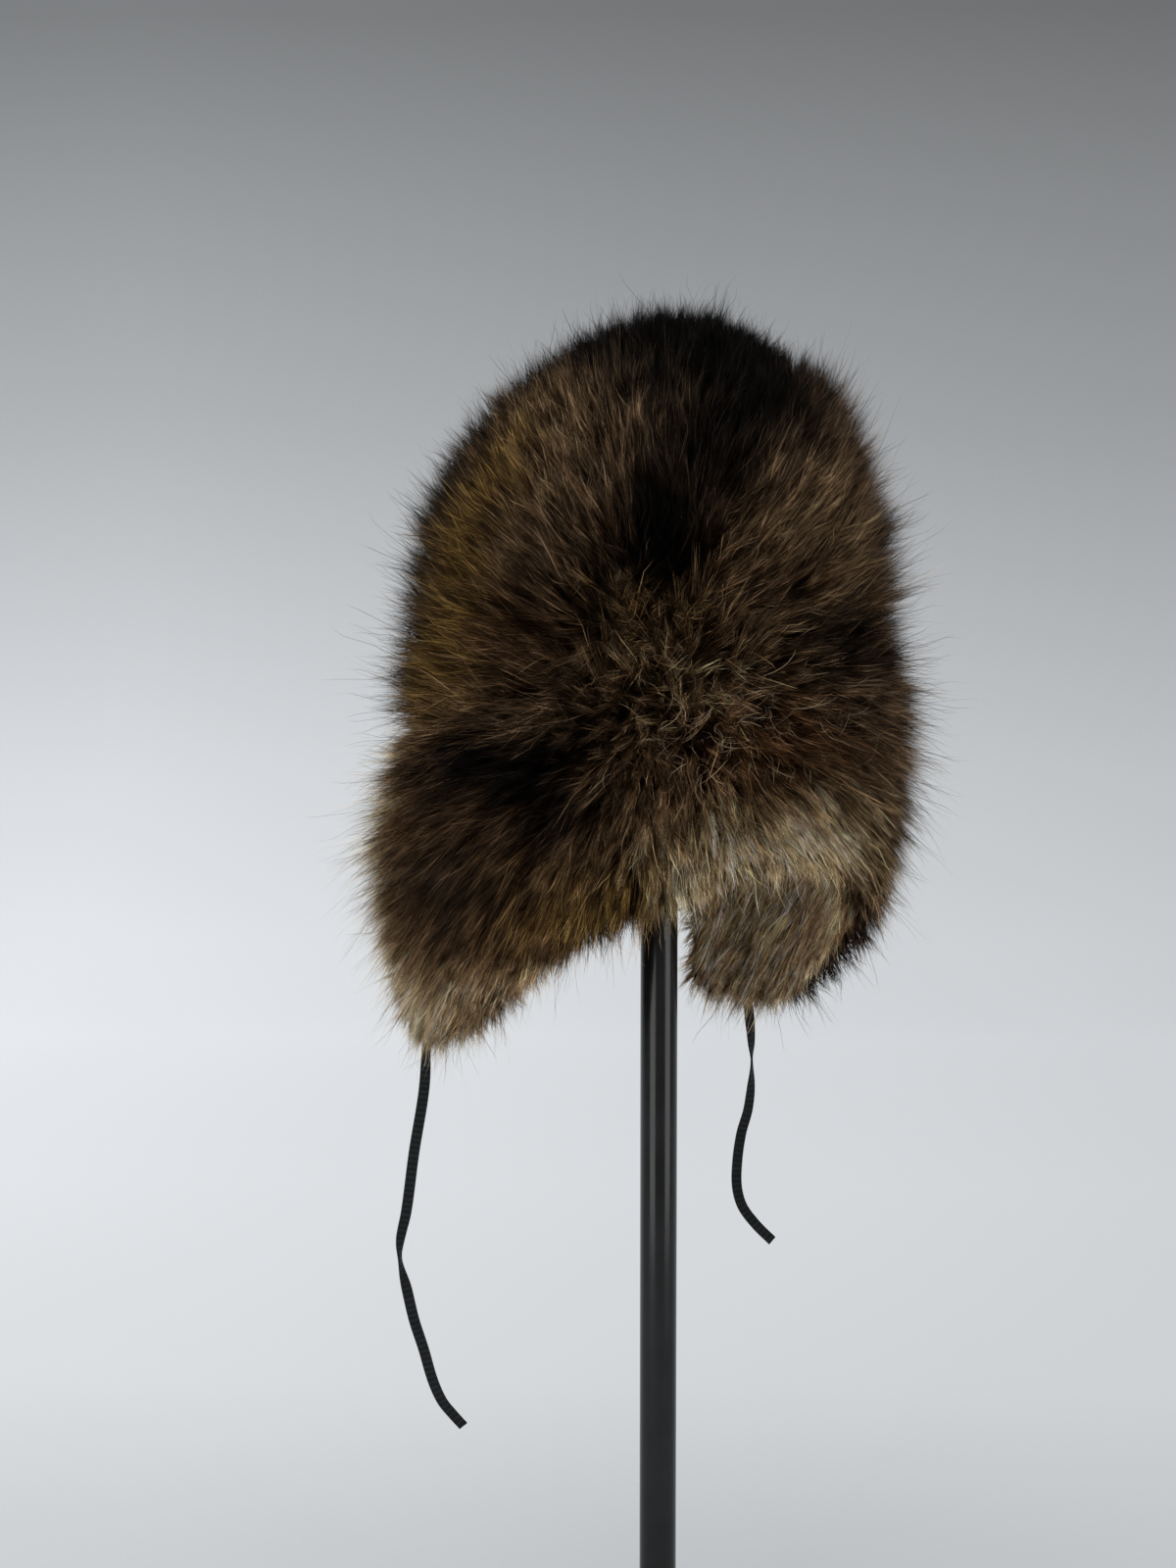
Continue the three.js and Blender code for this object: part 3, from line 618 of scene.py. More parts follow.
def visor_patch(columns=36, rows=16):
    """The fur of the turned-up visor."""
    angles, shares, skin, out = visor_skin(columns, rows)
    side = np.sin(math.pi * np.clip(np.linspace(0, 1, columns + 1), 0.02, 0.98))[:, None] ** 0.5
    end = 0.55 + 0.45 * np.sin(math.pi * np.clip(shares, 0, 1)) ** 0.7
    packed = VISOR_FUR_PACKED * (0.3 + 0.7 * side) * end
    lean = np.linspace(-1, 1, columns + 1)[:, None] ** 5
    down = 0.25 - 0.7 * (1 - shares)
    base = skin + out * (VISOR_BACK_GAP + VISOR_WALL + FUR_GAP)
    return patch(base, out, angles, packed, VISOR_FUR_LOCK, down, lean, 0.6)


def visor_edge():
    """The lower edge of the visor, where hair hides the thickness of the skin."""
    angles, _, skin, out = visor_skin(36, 16)
    depth = np.linspace(VISOR_BACK_GAP, VISOR_BACK_GAP + VISOR_WALL + 0.004, 5)[:, None]
    skin, out = skin[:, -1:], out[:, -1:]
    way = unit(DOWN + out * np.linspace(0.0, 0.8, 5)[:, None])
    return patch(skin + out * depth, way, angles[:, -1:] + 0 * depth.T, 0.002, VISOR_FUR_LOCK, 0, 0, 0)


def visor_skin(columns, rows):
    """Angles, shares, skin and way out of the place where the visor lies."""
    angles = 180 - VISOR_ANGLE + 2 * VISOR_ANGLE * np.linspace(0, 1, columns + 1)
    shares = np.linspace(0, 1, rows + 1)
    top, low = fur_line(angles) - VISOR_GAP, seam_height(angles)
    heights = low[:, None] + (top - low)[:, None] * (1 - shares[None])
    grid = angles[:, None] + 0 * shares
    below = placed(grid, heights, reach(grid, heights))
    skin = np.where((heights <= DOME_FOOT)[..., None], below, crown_place(grid, np.maximum(heights, DOME_FOOT)))
    return grid, shares, skin, outward(skin)


def dense(angle):
    """How dense the hair is at an angle: half as dense round the far side."""
    return np.where(np.abs(turned(angle - DENSE_ANGLE)) < DENSE_SPREAD, 1.0, 0.5)


def scattered(grid, count, rng):
    """Points spread over a patch, with all its facts."""
    skin = grid[..., SKIN]
    a = skin[1:, :-1] - skin[:-1, :-1]
    b = skin[:-1, 1:] - skin[:-1, :-1]
    area = np.linalg.norm(np.cross(a, b), axis=-1) * dense(grid[1:, 1:, ANGLE])
    edges = np.cumsum(area.ravel())
    cell = np.searchsorted(edges, rng.random(count) * edges[-1])
    i, j = np.divmod(np.minimum(cell, area.size - 1), area.shape[1])
    u, v = rng.random((2, count, 1))
    near = grid[i, j] * (1 - v) + grid[i, j + 1] * v
    far = grid[i + 1, j] * (1 - v) + grid[i + 1, j + 1] * v
    return near * (1 - u) + far * u


def uneven(p, size, seed):
    """Three smooth uneven values at each point, mostly from -1 to 1."""
    rng = np.random.default_rng(seed)
    out = np.zeros(p.shape)
    for _ in range(5):
        way = rng.normal(size=(3, 3))
        way *= rng.uniform(0.7, 1.5, (1, 3)) / np.linalg.norm(way, axis=0)
        out += np.sin(p @ way * (2 * math.pi / size) + rng.uniform(0, 2 * math.pi, 3))
    return out / 2.2


def grouped(p, size, seed):
    """The number of the wisp that each point belongs to."""
    cell = np.floor(p / size).astype(int)
    best = np.full(len(p), np.inf)
    key = np.zeros(len(p), np.int64)
    for step in np.ndindex(3, 3, 3):
        c = cell + np.array(step) - 1
        mixed = c @ np.array((12.9898, 78.233, 37.719)) + seed
        shift = np.stack([np.modf(np.abs(np.sin(mixed + k) * 43758.5453))[0] for k in range(3)], -1)
        far = (((c + shift) * size - p) ** 2).sum(1)
        closer = far < best
        best[closer] = far[closer]
        key[closer] = ((c[closer, 0] + 2000) * 4001 + c[closer, 1] + 2000) * 4001 + c[closer, 2] + 2000
    return np.unique(key, return_inverse=True)[1].ravel()


def averaged(values, group):
    """The mean of the values in each group."""
    count = np.bincount(group)
    return np.stack([np.bincount(group, values[:, k]) / count for k in range(values.shape[1])], -1)


def coat_colours(angle, p, table, seed):
    """The colour of the hair's tips at each point."""
    colours = np.repeat(np.array([COATS["grey_brown"]]), len(p), 0)
    drift = uneven(p, 0.030, seed)
    for name, at, height, spread, spread_up, share in table:
        turn = turned(angle - at) + drift[:, 0] * min(spread * 0.3, 5)
        lift = p[:, 2] - height + drift[:, 1] * min(spread_up * 0.3, 0.006)
        weight = share * np.exp(-((turn / spread) ** 2) - (lift / spread_up) ** 2)
        weight = np.clip(weight * 1.25, 0, 1)[:, None]
        colours = colours * (1 - weight) + np.array(COATS[name]) * weight
    return colours


# Kinds of hair: share of all hairs, steps along a hair, widths there, range of lengths, clumping, looseness, waviness.
# The share of stray hairs is a setting.
KINDS = (
    ("straight", 0.50, (0.0, 1.0), (1.0, 0.0), (0.60, 1.03), 1.0, 0.05, 0.0),
    ("bent", 0.46, (0.0, 0.5, 1.0), (1.0, 0.80, 0.0), (0.72, 1.08), 1.0, 0.05, 0.0),
    ("stray", None, (0.0, 0.3, 0.6, 0.85, 1.0), (0.8, 0.75, 0.65, 0.45, 0.0), (0.95, 1.25), 0.5, 0.14, 0.0013),
)


def grow(grid, hairs, coat, seed, wild=0.1, pale=0.0):
    """Hairs on a patch, by kind: their points, widths, flat sides and colours.

    Stray hairs are longer by up to the share wild, and pale is how far the hairs' roots have the colour of their tips.
    """
    look = bpy.context.scene.ushanka_fur
    rng = np.random.default_rng(seed)
    s = scattered(grid, hairs, rng)
    skin, out, side = s[:, SKIN], unit(s[:, OUT]), unit(s[:, SIDE])
    angle, packed, lock, down, lean, away = s[:, FACTS].T[..., None]
    root = skin + out * packed * ROOT_DEPTH
    whorl = placed(WHORL_ANGLE, WHORL_HEIGHT, reach(WHORL_ANGLE, WHORL_HEIGHT))
    whorl = whorl + outward(whorl[None])[0] * BAND_FUR_PACKED * 0.4
    toward = outward(whorl[None])
    apart = root - whorl
    apart = apart - toward * (apart * toward).sum(1, keepdims=True)
    distance = np.linalg.norm(apart, axis=1, keepdims=True)
    apart = apart / np.maximum(distance, 1e-6) * np.clip(distance / WHORL_REACH, 0, 1) ** 1.25
    lay = (apart - out * (apart * out).sum(1, keepdims=True)) * away
    lower = DOWN - out * -out[:, 2:]
    start = out + WHORL_LEAN * lay + lower * down + side * lean
    start += 0.30 * uneven(root, 0.030, 5) + 0.42 * uneven(root, 0.009, 6)
    start += 0.9 * np.exp(-((distance / WHORL_RUFFLED) ** 2)) * uneven(root, 0.013, 7)
    bend = 0.30 * lay + 0.3 * lower * down + np.array((0.0, 0.0, -0.06))
    length = (packed * 0.62 + lock * 0.70) * look.hair_length

    wisp = grouped(root, look.wisp_size, 1.0)
    mean = averaged(np.concatenate([root, unit(start), bend, length], 1), wisp)
    wisps = len(mean)
    g_root, g_way, g_bend, g_length = mean[:, :3], unit(mean[:, 3:6]), mean[:, 6:9], mean[:, 9:]
    g_way = unit(g_way + rng.normal(0, 0.13, (wisps, 3)))
    g_bend = g_bend + rng.normal(0, 0.10, (wisps, 3))
    g_length = g_length * rng.uniform(0.76, 1.12, (wisps, 1))
    tuft = grouped(g_root, look.tuft_size, 2.0)
    t_root = averaged(g_root, tuft)[tuft]
    g_close = (t_root - g_root) * rng.uniform(0.1, 0.5, (wisps, 1))
    shade_wisp = np.exp(rng.normal(0, 0.76, (wisps, 1)) + 0.42 * uneven(g_root, 0.012, 8)[:, :1])

    seen = root + length * 0.72 * unit(start)
    colours = coat_colours(bearing(seen), seen, coat, seed)
    pale = np.maximum(pale, np.clip((colours.mean(1, keepdims=True) - 0.22) * 1.6, 0, 0.62))
    wider = 1 / dense(angle) ** 0.6
    lot = rng.random(hairs)
    pale = np.broadcast_to(pale, (hairs, 1))
    pieces, first = [], 0.0
    for kind, share, steps, wide, span, close, loose, wave in KINDS:
        share = look.guard_hairs if kind == "stray" else share
        k = np.flatnonzero((lot >= first) & (lot < first + share))
        first += share
        w, n = wisp[k], len(k)
        steps, wide = np.array(steps), np.array(wide)
        u = steps[None, :, None] * rng.uniform(*span, (n, 1, 1))
        path = g_root[w][:, None] + g_length[w][:, None] * (u * g_way[w][:, None] + u**2 * g_bend[w][:, None])
        off = (root[k] - g_root[w])[:, None] * (1 - look.clumping * close * np.minimum(u, 1.1))
        if kind == "stray":
            path = path + wild * g_length[w][:, None] * u * rng.uniform(0, 1, (n, 1, 1)) * g_way[w][:, None]
        path = path + off + g_close[w][:, None] * u**1.5
        path = path + rng.normal(0, loose, (n, 1, 3)) * g_length[w][:, None] * u
        if wave:
            path = path + wave * u * np.sin(u * rng.uniform(5, 10, (n, 1, 3)) + rng.uniform(0, 6.28, (n, 1, 3)))
        axis = unit(path[:, -1] - path[:, 0])
        flat = unit(np.cross(axis, out[k] + rng.normal(0, 0.55, (n, 3))))
        width = look.hair_width * wider[k] * wide[None] * rng.uniform(0.75, 1.2, (n, 1))
        tone = np.minimum(shade_wisp[w] * np.exp(rng.normal(0, 0.50, (n, 1))), 3.2) * look.brightness
        tone = tone * np.where(rng.random((n, 1)) < look.dark_hairs * (1 - pale[k]), 0.2, 1)
        c = np.repeat((colours[k] * tone)[:, None], len(steps), 1)
        # Each point's place on the colour ramp, low at the root: the dark root end is partly the underfur's colour,
        # partly painted shade
        ripe = rng.normal(0, 0.12, (n, 1)) + pale[k] + (1 - pale[k]) * steps[None]
        c = np.concatenate([c, np.clip(ripe, 0, 1)[..., None]], -1)
        pieces.append((path, width, flat, c))
    return pieces


def curls(grid, hairs, seed):
    """Long pale curly hairs that lie over the coat where the hair parts."""
    look = bpy.context.scene.ushanka_fur
    at, height, spread, spread_up = CURLS_AT
    rng = np.random.default_rng(seed)
    s = scattered(grid, hairs * 14, rng)
    near = np.exp(-((turned(s[:, ANGLE] - at) / spread) ** 2) - ((s[:, 2] - height) / spread_up) ** 2)
    s = s[rng.random(len(s)) < near][:hairs]
    n = len(s)
    out, side = unit(s[:, OUT]), unit(s[:, SIDE])
    root = s[:, SKIN] + out * s[:, PACKED] * 0.75
    wide = np.array([0.8] * 9 + [0.6, 0.0])
    count = len(wide)
    steps = np.linspace(0, 1, count)[None, :, None]
    way = unit(out * 0.75 + side * rng.normal(0, 0.6, (n, 1)) + np.cross(out, side) * rng.normal(0, 0.6, (n, 1)))
    length = rng.uniform(0.016, 0.032, (n, 1, 1))
    turn = rng.uniform(0.45, 1.2, (n, 1, 1)) * 2 * math.pi * steps + rng.uniform(0, 6.28, (n, 1, 1))
    radius = rng.uniform(0.0015, 0.0040, (n, 1, 1)) * np.minimum(steps * 2, 1)
    up = np.cross(way, side)
    path = root[:, None] + way[:, None] * length * steps
    path = path + radius * (np.cos(turn) * side[:, None] + np.sin(turn) * up[:, None])
    flat = unit(np.cross(way, out + rng.normal(0, 0.3, (n, 3))))
    width = look.hair_width * 0.42 * wide[None] * np.ones((n, 1))
    tone = rng.uniform(0.35, 1.1, (n, 1, 1)) * np.array((0.60, 0.45, 0.30)) * look.brightness
    ripe = np.tile(np.linspace(0.6, 1, count)[None, :, None], (n, 1, 1))
    c = np.concatenate([np.repeat(tone, count, 1), ripe], -1)
    return [(path, width, flat, c)]


def edge_hairs(name, share, more):
    """The number of hairs on each edge of a piece of fur."""
    return int(HAIRS[name] * share) + more


def undercoat(grid):
    """The closed sheet of packed underfur beneath the hairs: its points, faces and map."""
    columns, rows = grid.shape[0] - 1, grid.shape[1] - 1
    out = grid[..., OUT]
    top = grid[..., SKIN] + out * np.maximum(grid[..., PACKED] * 0.5, 0.0022)
    top = top + out * 0.0009 * uneven(top.reshape(-1, 3), 0.006, 9)[:, :1].reshape(*top.shape[:2], 1)
    low = grid[..., SKIN] + out * 0.0006
    points = np.concatenate([top.reshape(-1, 3), low.reshape(-1, 3)])
    ids = np.arange((columns + 1) * (rows + 1)).reshape(columns + 1, rows + 1)
    under = ids + ids.size
    quads = [np.stack([ids[:-1, :-1], ids[:-1, 1:], ids[1:, 1:], ids[1:, :-1]], -1).reshape(-1, 4)]
    quads.append(np.stack([under[:-1, :-1], under[1:, :-1], under[1:, 1:], under[:-1, 1:]], -1).reshape(-1, 4))
    for a, b in ((ids[0], under[0]), (ids[:, -1], under[:, -1])):
        quads.append(np.stack([a[:-1], b[:-1], b[1:], a[1:]], -1))
    for a, b in ((ids[-1], under[-1]), (ids[:, 0], under[:, 0])):
        quads.append(np.stack([a[1:], b[1:], b[:-1], a[:-1]], -1))
    quads = np.concatenate(quads)
    normal = np.cross(points[quads[0, 1]] - points[quads[0, 0]], points[quads[0, 2]] - points[quads[0, 0]])
    if (normal * out[0, 0]).sum() < 0:
        quads = quads[:, ::-1]
    u, v = np.meshgrid(np.linspace(0.01, 0.97, columns + 1), np.linspace(0.01, 0.97, rows + 1), indexing="ij")
    faces = columns * rows
    place = np.stack([u, v], -1).reshape(-1, 2)
    place = np.concatenate([place * (0.5, 0.2), place * (0.44, 0.2) + (0.5, 0)])
    maps = place[quads]
    edge = len(quads) - 2 * faces
    line = np.linspace(0.004, 0.196, edge + 1)
    maps[2 * faces :, :, 0] = (0.965, 0.985, 0.985, 0.965)
    maps[2 * faces :, :, 1] = np.stack([line[:-1], line[:-1], line[1:], line[1:]], -1)
    return points, quads, maps


def hair_mesh(name, grid, coat, batches, seed, pale=0.0):
    """One mesh of the undercoat and its hairs, with a colour at each point and a map with a place for each hair."""
    look = bpy.context.scene.ushanka_fur
    base, quads, base_map = undercoat(grid)
    angle = np.concatenate([grid[..., ANGLE].ravel()] * 2)
    under = coat_colours(angle, base, coat, seed) * look.brightness
    # The undercoat sits low on the colour ramp, near its dark root end: the underfur's own colour and painted shade
    # beneath the hairs
    ripe = 0.12 + 0.7 * pale + np.clip((under.mean(1, keepdims=True) / look.brightness - 0.22) * 0.8, 0, 0.4)
    shade = np.concatenate([under, ripe], 1)
    points, colours = [base], [shade]
    corners, sizes, maps = [quads.ravel()], [np.full(len(quads), 4)], [base_map.reshape(-1, 2)]
    total = sum(len(b[0]) for b in batches)
    across = max(int(math.ceil(2 * math.sqrt(total))), 1)
    down = int(math.ceil(total / across))
    first, placed_hairs = len(base), 0
    low, high = (np.array(c) for c in cad_box)
    low, high = low - HAIR_REACH, high + HAIR_REACH
    for path, width, flat, colour in batches:
        n, rings = path.shape[:2]
        half = flat[:, None] * width[..., None] / 2
        left, right = path[:, :-1] - half[:, :-1], path[:, :-1] + half[:, :-1]
        body = np.stack([left, right], 2).reshape(n, -1, 3)
        body = np.concatenate([body, path[:, -1:]], 1)
        body = np.clip(body, low, high)
        per = body.shape[1]
        points.append(body.reshape(-1, 3))
        doubled = np.repeat(colour[:, :-1], 2, 1)
        colours.append(np.concatenate([doubled, colour[:, -1:]], 1).reshape(-1, 4))
        start = first + np.arange(n)[:, None] * per
        quad = [np.array((0, 1, 3, 2)) + 2 * r for r in range(rings - 2)]
        quad = np.concatenate(quad + [[2 * rings - 4, 2 * rings - 3, per - 1]])
        corners.append((start + quad[None]).ravel())
        sizes.append(np.tile([4] * (rings - 2) + [3], n))
        number = placed_hairs + np.arange(n)
        u0, v0 = (number % across) / across, 0.2 + 0.8 * (number // across) / down
        share = np.repeat(np.linspace(0.06, 0.94, rings)[:-1], 2)
        side = np.tile((0.15, 0.85), rings - 1)
        share, side = np.append(share, 0.94), np.append(side, 0.5)
        place = np.stack([u0[:, None] + side / across, v0[:, None] + share * 0.8 / down], -1)
        maps.append(place[:, quad].reshape(-1, 2))
        first += n * per
        placed_hairs += n
    points, colours = np.concatenate(points), np.concatenate(colours)
    corners, sizes, maps = np.concatenate(corners), np.concatenate(sizes), np.concatenate(maps)
    mesh = bpy.data.meshes.new(name)
    mesh.vertices.add(len(points))
    mesh.vertices.foreach_set("co", points.ravel())
    mesh.loops.add(len(corners))
    mesh.loops.foreach_set("vertex_index", corners)
    mesh.polygons.add(len(sizes))
    mesh.polygons.foreach_set("loop_start", np.concatenate([[0], np.cumsum(sizes)[:-1]]))
    mesh.update(calc_edges=True)
    mesh.polygons.foreach_set("use_smooth", np.ones(len(sizes), bool))
    mesh.uv_layers.new(name="OFBake").data.foreach_set("uv", maps.ravel())
    paint = mesh.color_attributes.new("Coat", "FLOAT_COLOR", "POINT")
    paint.data.foreach_set("color", np.clip(colours, 0, 1).ravel())
    mesh.validate()
    piece = bpy.data.objects.new(name, mesh)
    bpy.context.collection.objects.link(piece)
    return piece


def finished(piece, material, slot, *nodes):
    """Gives a piece its material, and lets it ride in place of the part's own nodes. The slot is not used."""
    piece.data.materials.clear()
    piece.data.materials.append(material)
    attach(piece, "root")
    if nodes:
        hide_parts(*nodes)


# Materials


def toned(colour, share):
    """A colour lighter or darker by a share."""
    return tuple(min(share * c, 1) for c in colour)


class Nodes:
    """Adds and joins the nodes of one material."""

    def __init__(self, name):
        self.material = bpy.data.materials.get(name) or bpy.data.materials.new(name)
        self.material.use_nodes = True
        self.tree = self.material.node_tree
        self.tree.nodes.clear()
        self.surface = self.add("ShaderNodeBsdfPrincipled")
        output = self.add("ShaderNodeOutputMaterial")
        self.join(self.surface, "BSDF", output, "Surface")

    def add(self, kind, **values):
        node = self.tree.nodes.new(kind)
        for key, value in values.items():
            if key in node.inputs:
                node.inputs[key].default_value = value
            else:
                setattr(node, key, value)
        return node

    def join(self, source, output, target, entry):
        self.tree.links.new(source.outputs[output], target.inputs[entry])

    def noise(self, source, output, scale, detail=3.0, roughness=0.5):
        node = self.add("ShaderNodeTexNoise", Scale=scale, Detail=detail, Roughness=roughness)
        self.join(source, output, node, "Vector")
        return node

    def ramp(self, source, output, stops):
        node = self.add("ShaderNodeValToRGB")
        elements = node.color_ramp.elements
        while len(elements) < len(stops):
            elements.new(0.5)
        for element, (place, colour) in zip(elements, stops):
            element.position = place
            element.color = (*colour, 1)
        self.join(source, output, node, "Fac")
        return node

    def mix(self, kind, factor, a, b):
        node = self.add("ShaderNodeMix", data_type="RGBA", blend_type=kind)
        node.inputs[0].default_value = factor
        self.tree.links.new(a, node.inputs[6])
        self.tree.links.new(b, node.inputs[7])
        return node

    def bump(self, source, output, strength, distance):
        node = self.add("ShaderNodeBump", Strength=strength, Distance=distance)
        self.join(source, output, node, "Height")
        self.join(node, "Normal", self.surface, "Normal")
        return node

    def finish(self, **values):
        for key, value in values.items():
            self.surface.inputs[key.replace("_", " ")].default_value = value
        return self.material


def fur_material():
    """Hair with the pelts' colours, flecked along its length and darkened towards its roots, partly by the underfur's
    own colour and partly by painted shade deep in the fur.
    """
    made = Nodes("deep_fur")
    coat = made.add("ShaderNodeAttribute", attribute_name="Coat", attribute_type="GEOMETRY")
    place = made.add("ShaderNodeTexCoord")
    fleck = made.noise(place, "Object", 420.0, 2.0, 0.6)
    shift = made.add("ShaderNodeMath", operation="MULTIPLY_ADD")
    shift.inputs[1].default_value = 0.34
    made.join(fleck, "Fac", shift, 0)
    made.join(coat, "Alpha", shift, 2)
    # The ramp darkens the hair towards its root: partly the underfur's own colour, partly painted shade deep in the
    # fur and at the foot of each wisp
    roots = ((0.16, (0.030, 0.021, 0.014)), (0.66, (0.070, 0.048, 0.030)))
    grown = made.ramp(shift, 0, (*roots, (0.88, (0.40, 0.34, 0.27)), (1.0, (1, 1, 1))))
    patchy = made.noise(place, "Object", 85.0, 4.0, 0.65)
    patches = made.ramp(patchy, "Fac", ((0.36, (0.50, 0.48, 0.46)), (0.64, (1.46, 1.46, 1.46))))
    banded = made.mix("MULTIPLY", 1.0, coat.outputs["Color"], grown.outputs["Color"])
    mixed = made.mix("MULTIPLY", 1.0, banded.outputs[2], patches.outputs["Color"])
    made.tree.links.new(mixed.outputs[2], made.surface.inputs["Base Color"])
    rough = made.add("ShaderNodeMapRange")
    rough.inputs["To Min"].default_value = 0.42
    rough.inputs["To Max"].default_value = 0.66
    made.join(fleck, "Fac", rough, "Value")
    made.join(rough, "Result", made.surface, "Roughness")
    return made.finish(Specular_IOR_Level=0.045)


def skin_material():
    """Matt brown padded skin with fine creases."""
    look = bpy.context.scene.ushanka_skin
    made = Nodes("padded_skin")
    place = made.add("ShaderNodeTexCoord")
    cloud = made.noise(place, "Object", 34.0, 5.0, 0.6)
    stops = ((0.3, toned(look.colour, 0.55)), (0.55, look.colour), (0.75, toned(look.colour, 1.5)))
    tint = made.ramp(cloud, "Fac", stops)
    made.join(tint, "Color", made.surface, "Base Color")
    grain = made.add("ShaderNodeTexVoronoi", Scale=620.0)
    made.join(place, "Object", grain, "Vector")
    made.bump(grain, "Distance", 0.35, 0.0006)
    return made.finish(Roughness=0.82, Specular_IOR_Level=0.35, Sheen_Weight=0.15)


def ribbon_material():
    """Woven black ribbon with fine cross ribs, bound edges and dull lint."""
    look = bpy.context.scene.ushanka_ties
    made = Nodes("woven_ribbon")
    place = made.add("ShaderNodeUVMap", uv_map="Weave")
    rib = made.add("ShaderNodeTexWave", wave_type="BANDS", bands_direction="Y", Scale=1.0, Distortion=0.6, Detail=2.0)
    made.join(place, "UV", rib, "Vector")
    stops = ((0.15, toned(look.colour, 0.55)), (0.6, look.colour), (0.95, toned(look.colour, 2.1)))
    tint = made.ramp(rib, "Fac", stops)
    spot = made.add("ShaderNodeTexCoord")
    lint = made.noise(spot, "Object", 260.0, 4.0, 0.65)
    worn = made.ramp(lint, "Fac", ((0.4, (0.85, 0.85, 0.85)), (0.72, (1.5, 1.5, 1.5))))
    mixed = made.mix("MULTIPLY", 1.0, tint.outputs["Color"], worn.outputs["Color"])
    made.tree.links.new(mixed.outputs[2], made.surface.inputs["Base Color"])
    made.bump(rib, "Fac", 0.5, 0.00025)
    return made.finish(Roughness=0.75, Specular_IOR_Level=0.2, Sheen_Weight=0.05)


def stand_material():
    """Glossy black finish with faint fingerprints and dust."""
    look = bpy.context.scene.ushanka_stand
    made = Nodes("glossy_black")
    place = made.add("ShaderNodeTexCoord")
    smear = made.noise(place, "Object", 28.0, 6.0, 0.65)
    tint = made.ramp(smear, "Fac", ((0.35, look.colour), (0.75, toned(look.colour, 2.6))))
    made.join(tint, "Color", made.surface, "Base Color")
    rough = made.add("ShaderNodeMapRange")
    rough.inputs["From Min"].default_value = 0.3
    rough.inputs["From Max"].default_value = 0.8
    rough.inputs["To Min"].default_value = look.roughness
    rough.inputs["To Max"].default_value = look.roughness + 0.10
    made.join(smear, "Fac", rough, "Value")
    made.join(rough, "Result", made.surface, "Roughness")
    fine = made.noise(place, "Object", 900.0, 2.0)
    made.bump(fine, "Fac", 0.05, 0.0001)
    return made.finish(Specular_IOR_Level=0.32)


# Modelling by operators


def deselect():
    """Leaves nothing selected."""
    for piece in bpy.context.selected_objects:
        piece.select_set(False)


def chosen(piece):
    """Leaves one piece selected and active."""
    deselect()
    piece.select_set(True)
    bpy.context.view_layer.objects.active = piece


def meshed(name, points, faces):
    """A new piece from lists of points and faces."""
    mesh = bpy.data.meshes.new(name)
    mesh.from_pydata(points, [], faces)
    piece = bpy.data.objects.new(name, mesh)
    bpy.context.collection.objects.link(piece)
    return piece


def faced_out():
    """Turns all faces of the piece in edit mode outwards and leaves edit mode."""
    bpy.ops.mesh.select_all(action="SELECT")
    bpy.ops.mesh.normals_make_consistent(inside=False)
    bpy.ops.object.mode_set(mode="OBJECT")


def edit():
    """Opens the active piece in edit mode with nothing selected."""
    bpy.ops.object.mode_set(mode="EDIT")
    bpy.ops.mesh.select_mode(type="FACE")
    bpy.ops.mesh.select_all(action="DESELECT")


def pick(piece, kind, test):
    """Selects the faces or edges of a piece that pass a test on their middle."""
    bpy.ops.object.mode_set(mode="OBJECT")
    mesh = piece.data
    for items in (mesh.vertices, mesh.edges, mesh.polygons):
        for item in items:
            item.select = False
    if kind == "faces":
        for f in mesh.polygons:
            f.select = test(f.center, f.normal)
    else:
        for e in mesh.edges:
            a, b = (mesh.vertices[i].co for i in e.vertices)
            e.select = test(a, b)
    bpy.ops.object.mode_set(mode="EDIT")
    bpy.ops.mesh.select_mode(type="FACE" if kind == "faces" else "EDGE")


def named(name):
    """Names the piece that was just added and puts its place into its mesh."""
    piece = bpy.context.active_object
    piece.name = piece.data.name = name
    chosen(piece)
    bpy.ops.object.transform_apply(location=True, rotation=True, scale=True)
    return piece


def post(name, radius, low, high, sides=128):
    """An upright cylinder between two heights."""
    deselect()
    middle = (0, 0, (low + high) / 2)
    bpy.ops.mesh.primitive_cylinder_add(vertices=sides, radius=radius, depth=high - low, location=middle)
    return named(name)


def bevelled(piece, height, radius, width, segments):
    """Rounds the ring of edges at a height and radius."""

    def on_ring(a, b):
        flat = abs(a.z - height) < 1e-5 and abs(b.z - height) < 1e-5
        return flat and abs(a.xy.length - radius) < 1e-5 and abs(b.xy.length - radius) < 1e-5

    bpy.context.view_layer.objects.active = piece
    edit()
    pick(piece, "edges", on_ring)
    bpy.ops.mesh.bevel(offset=width, segments=segments, affect="EDGES")
    bpy.ops.object.mode_set(mode="OBJECT")


def smoothed(piece, angle=35):
    """Shades a piece smooth except at its sharp edges."""
    chosen(piece)
    bpy.ops.object.shade_smooth_by_angle(angle=math.radians(angle))


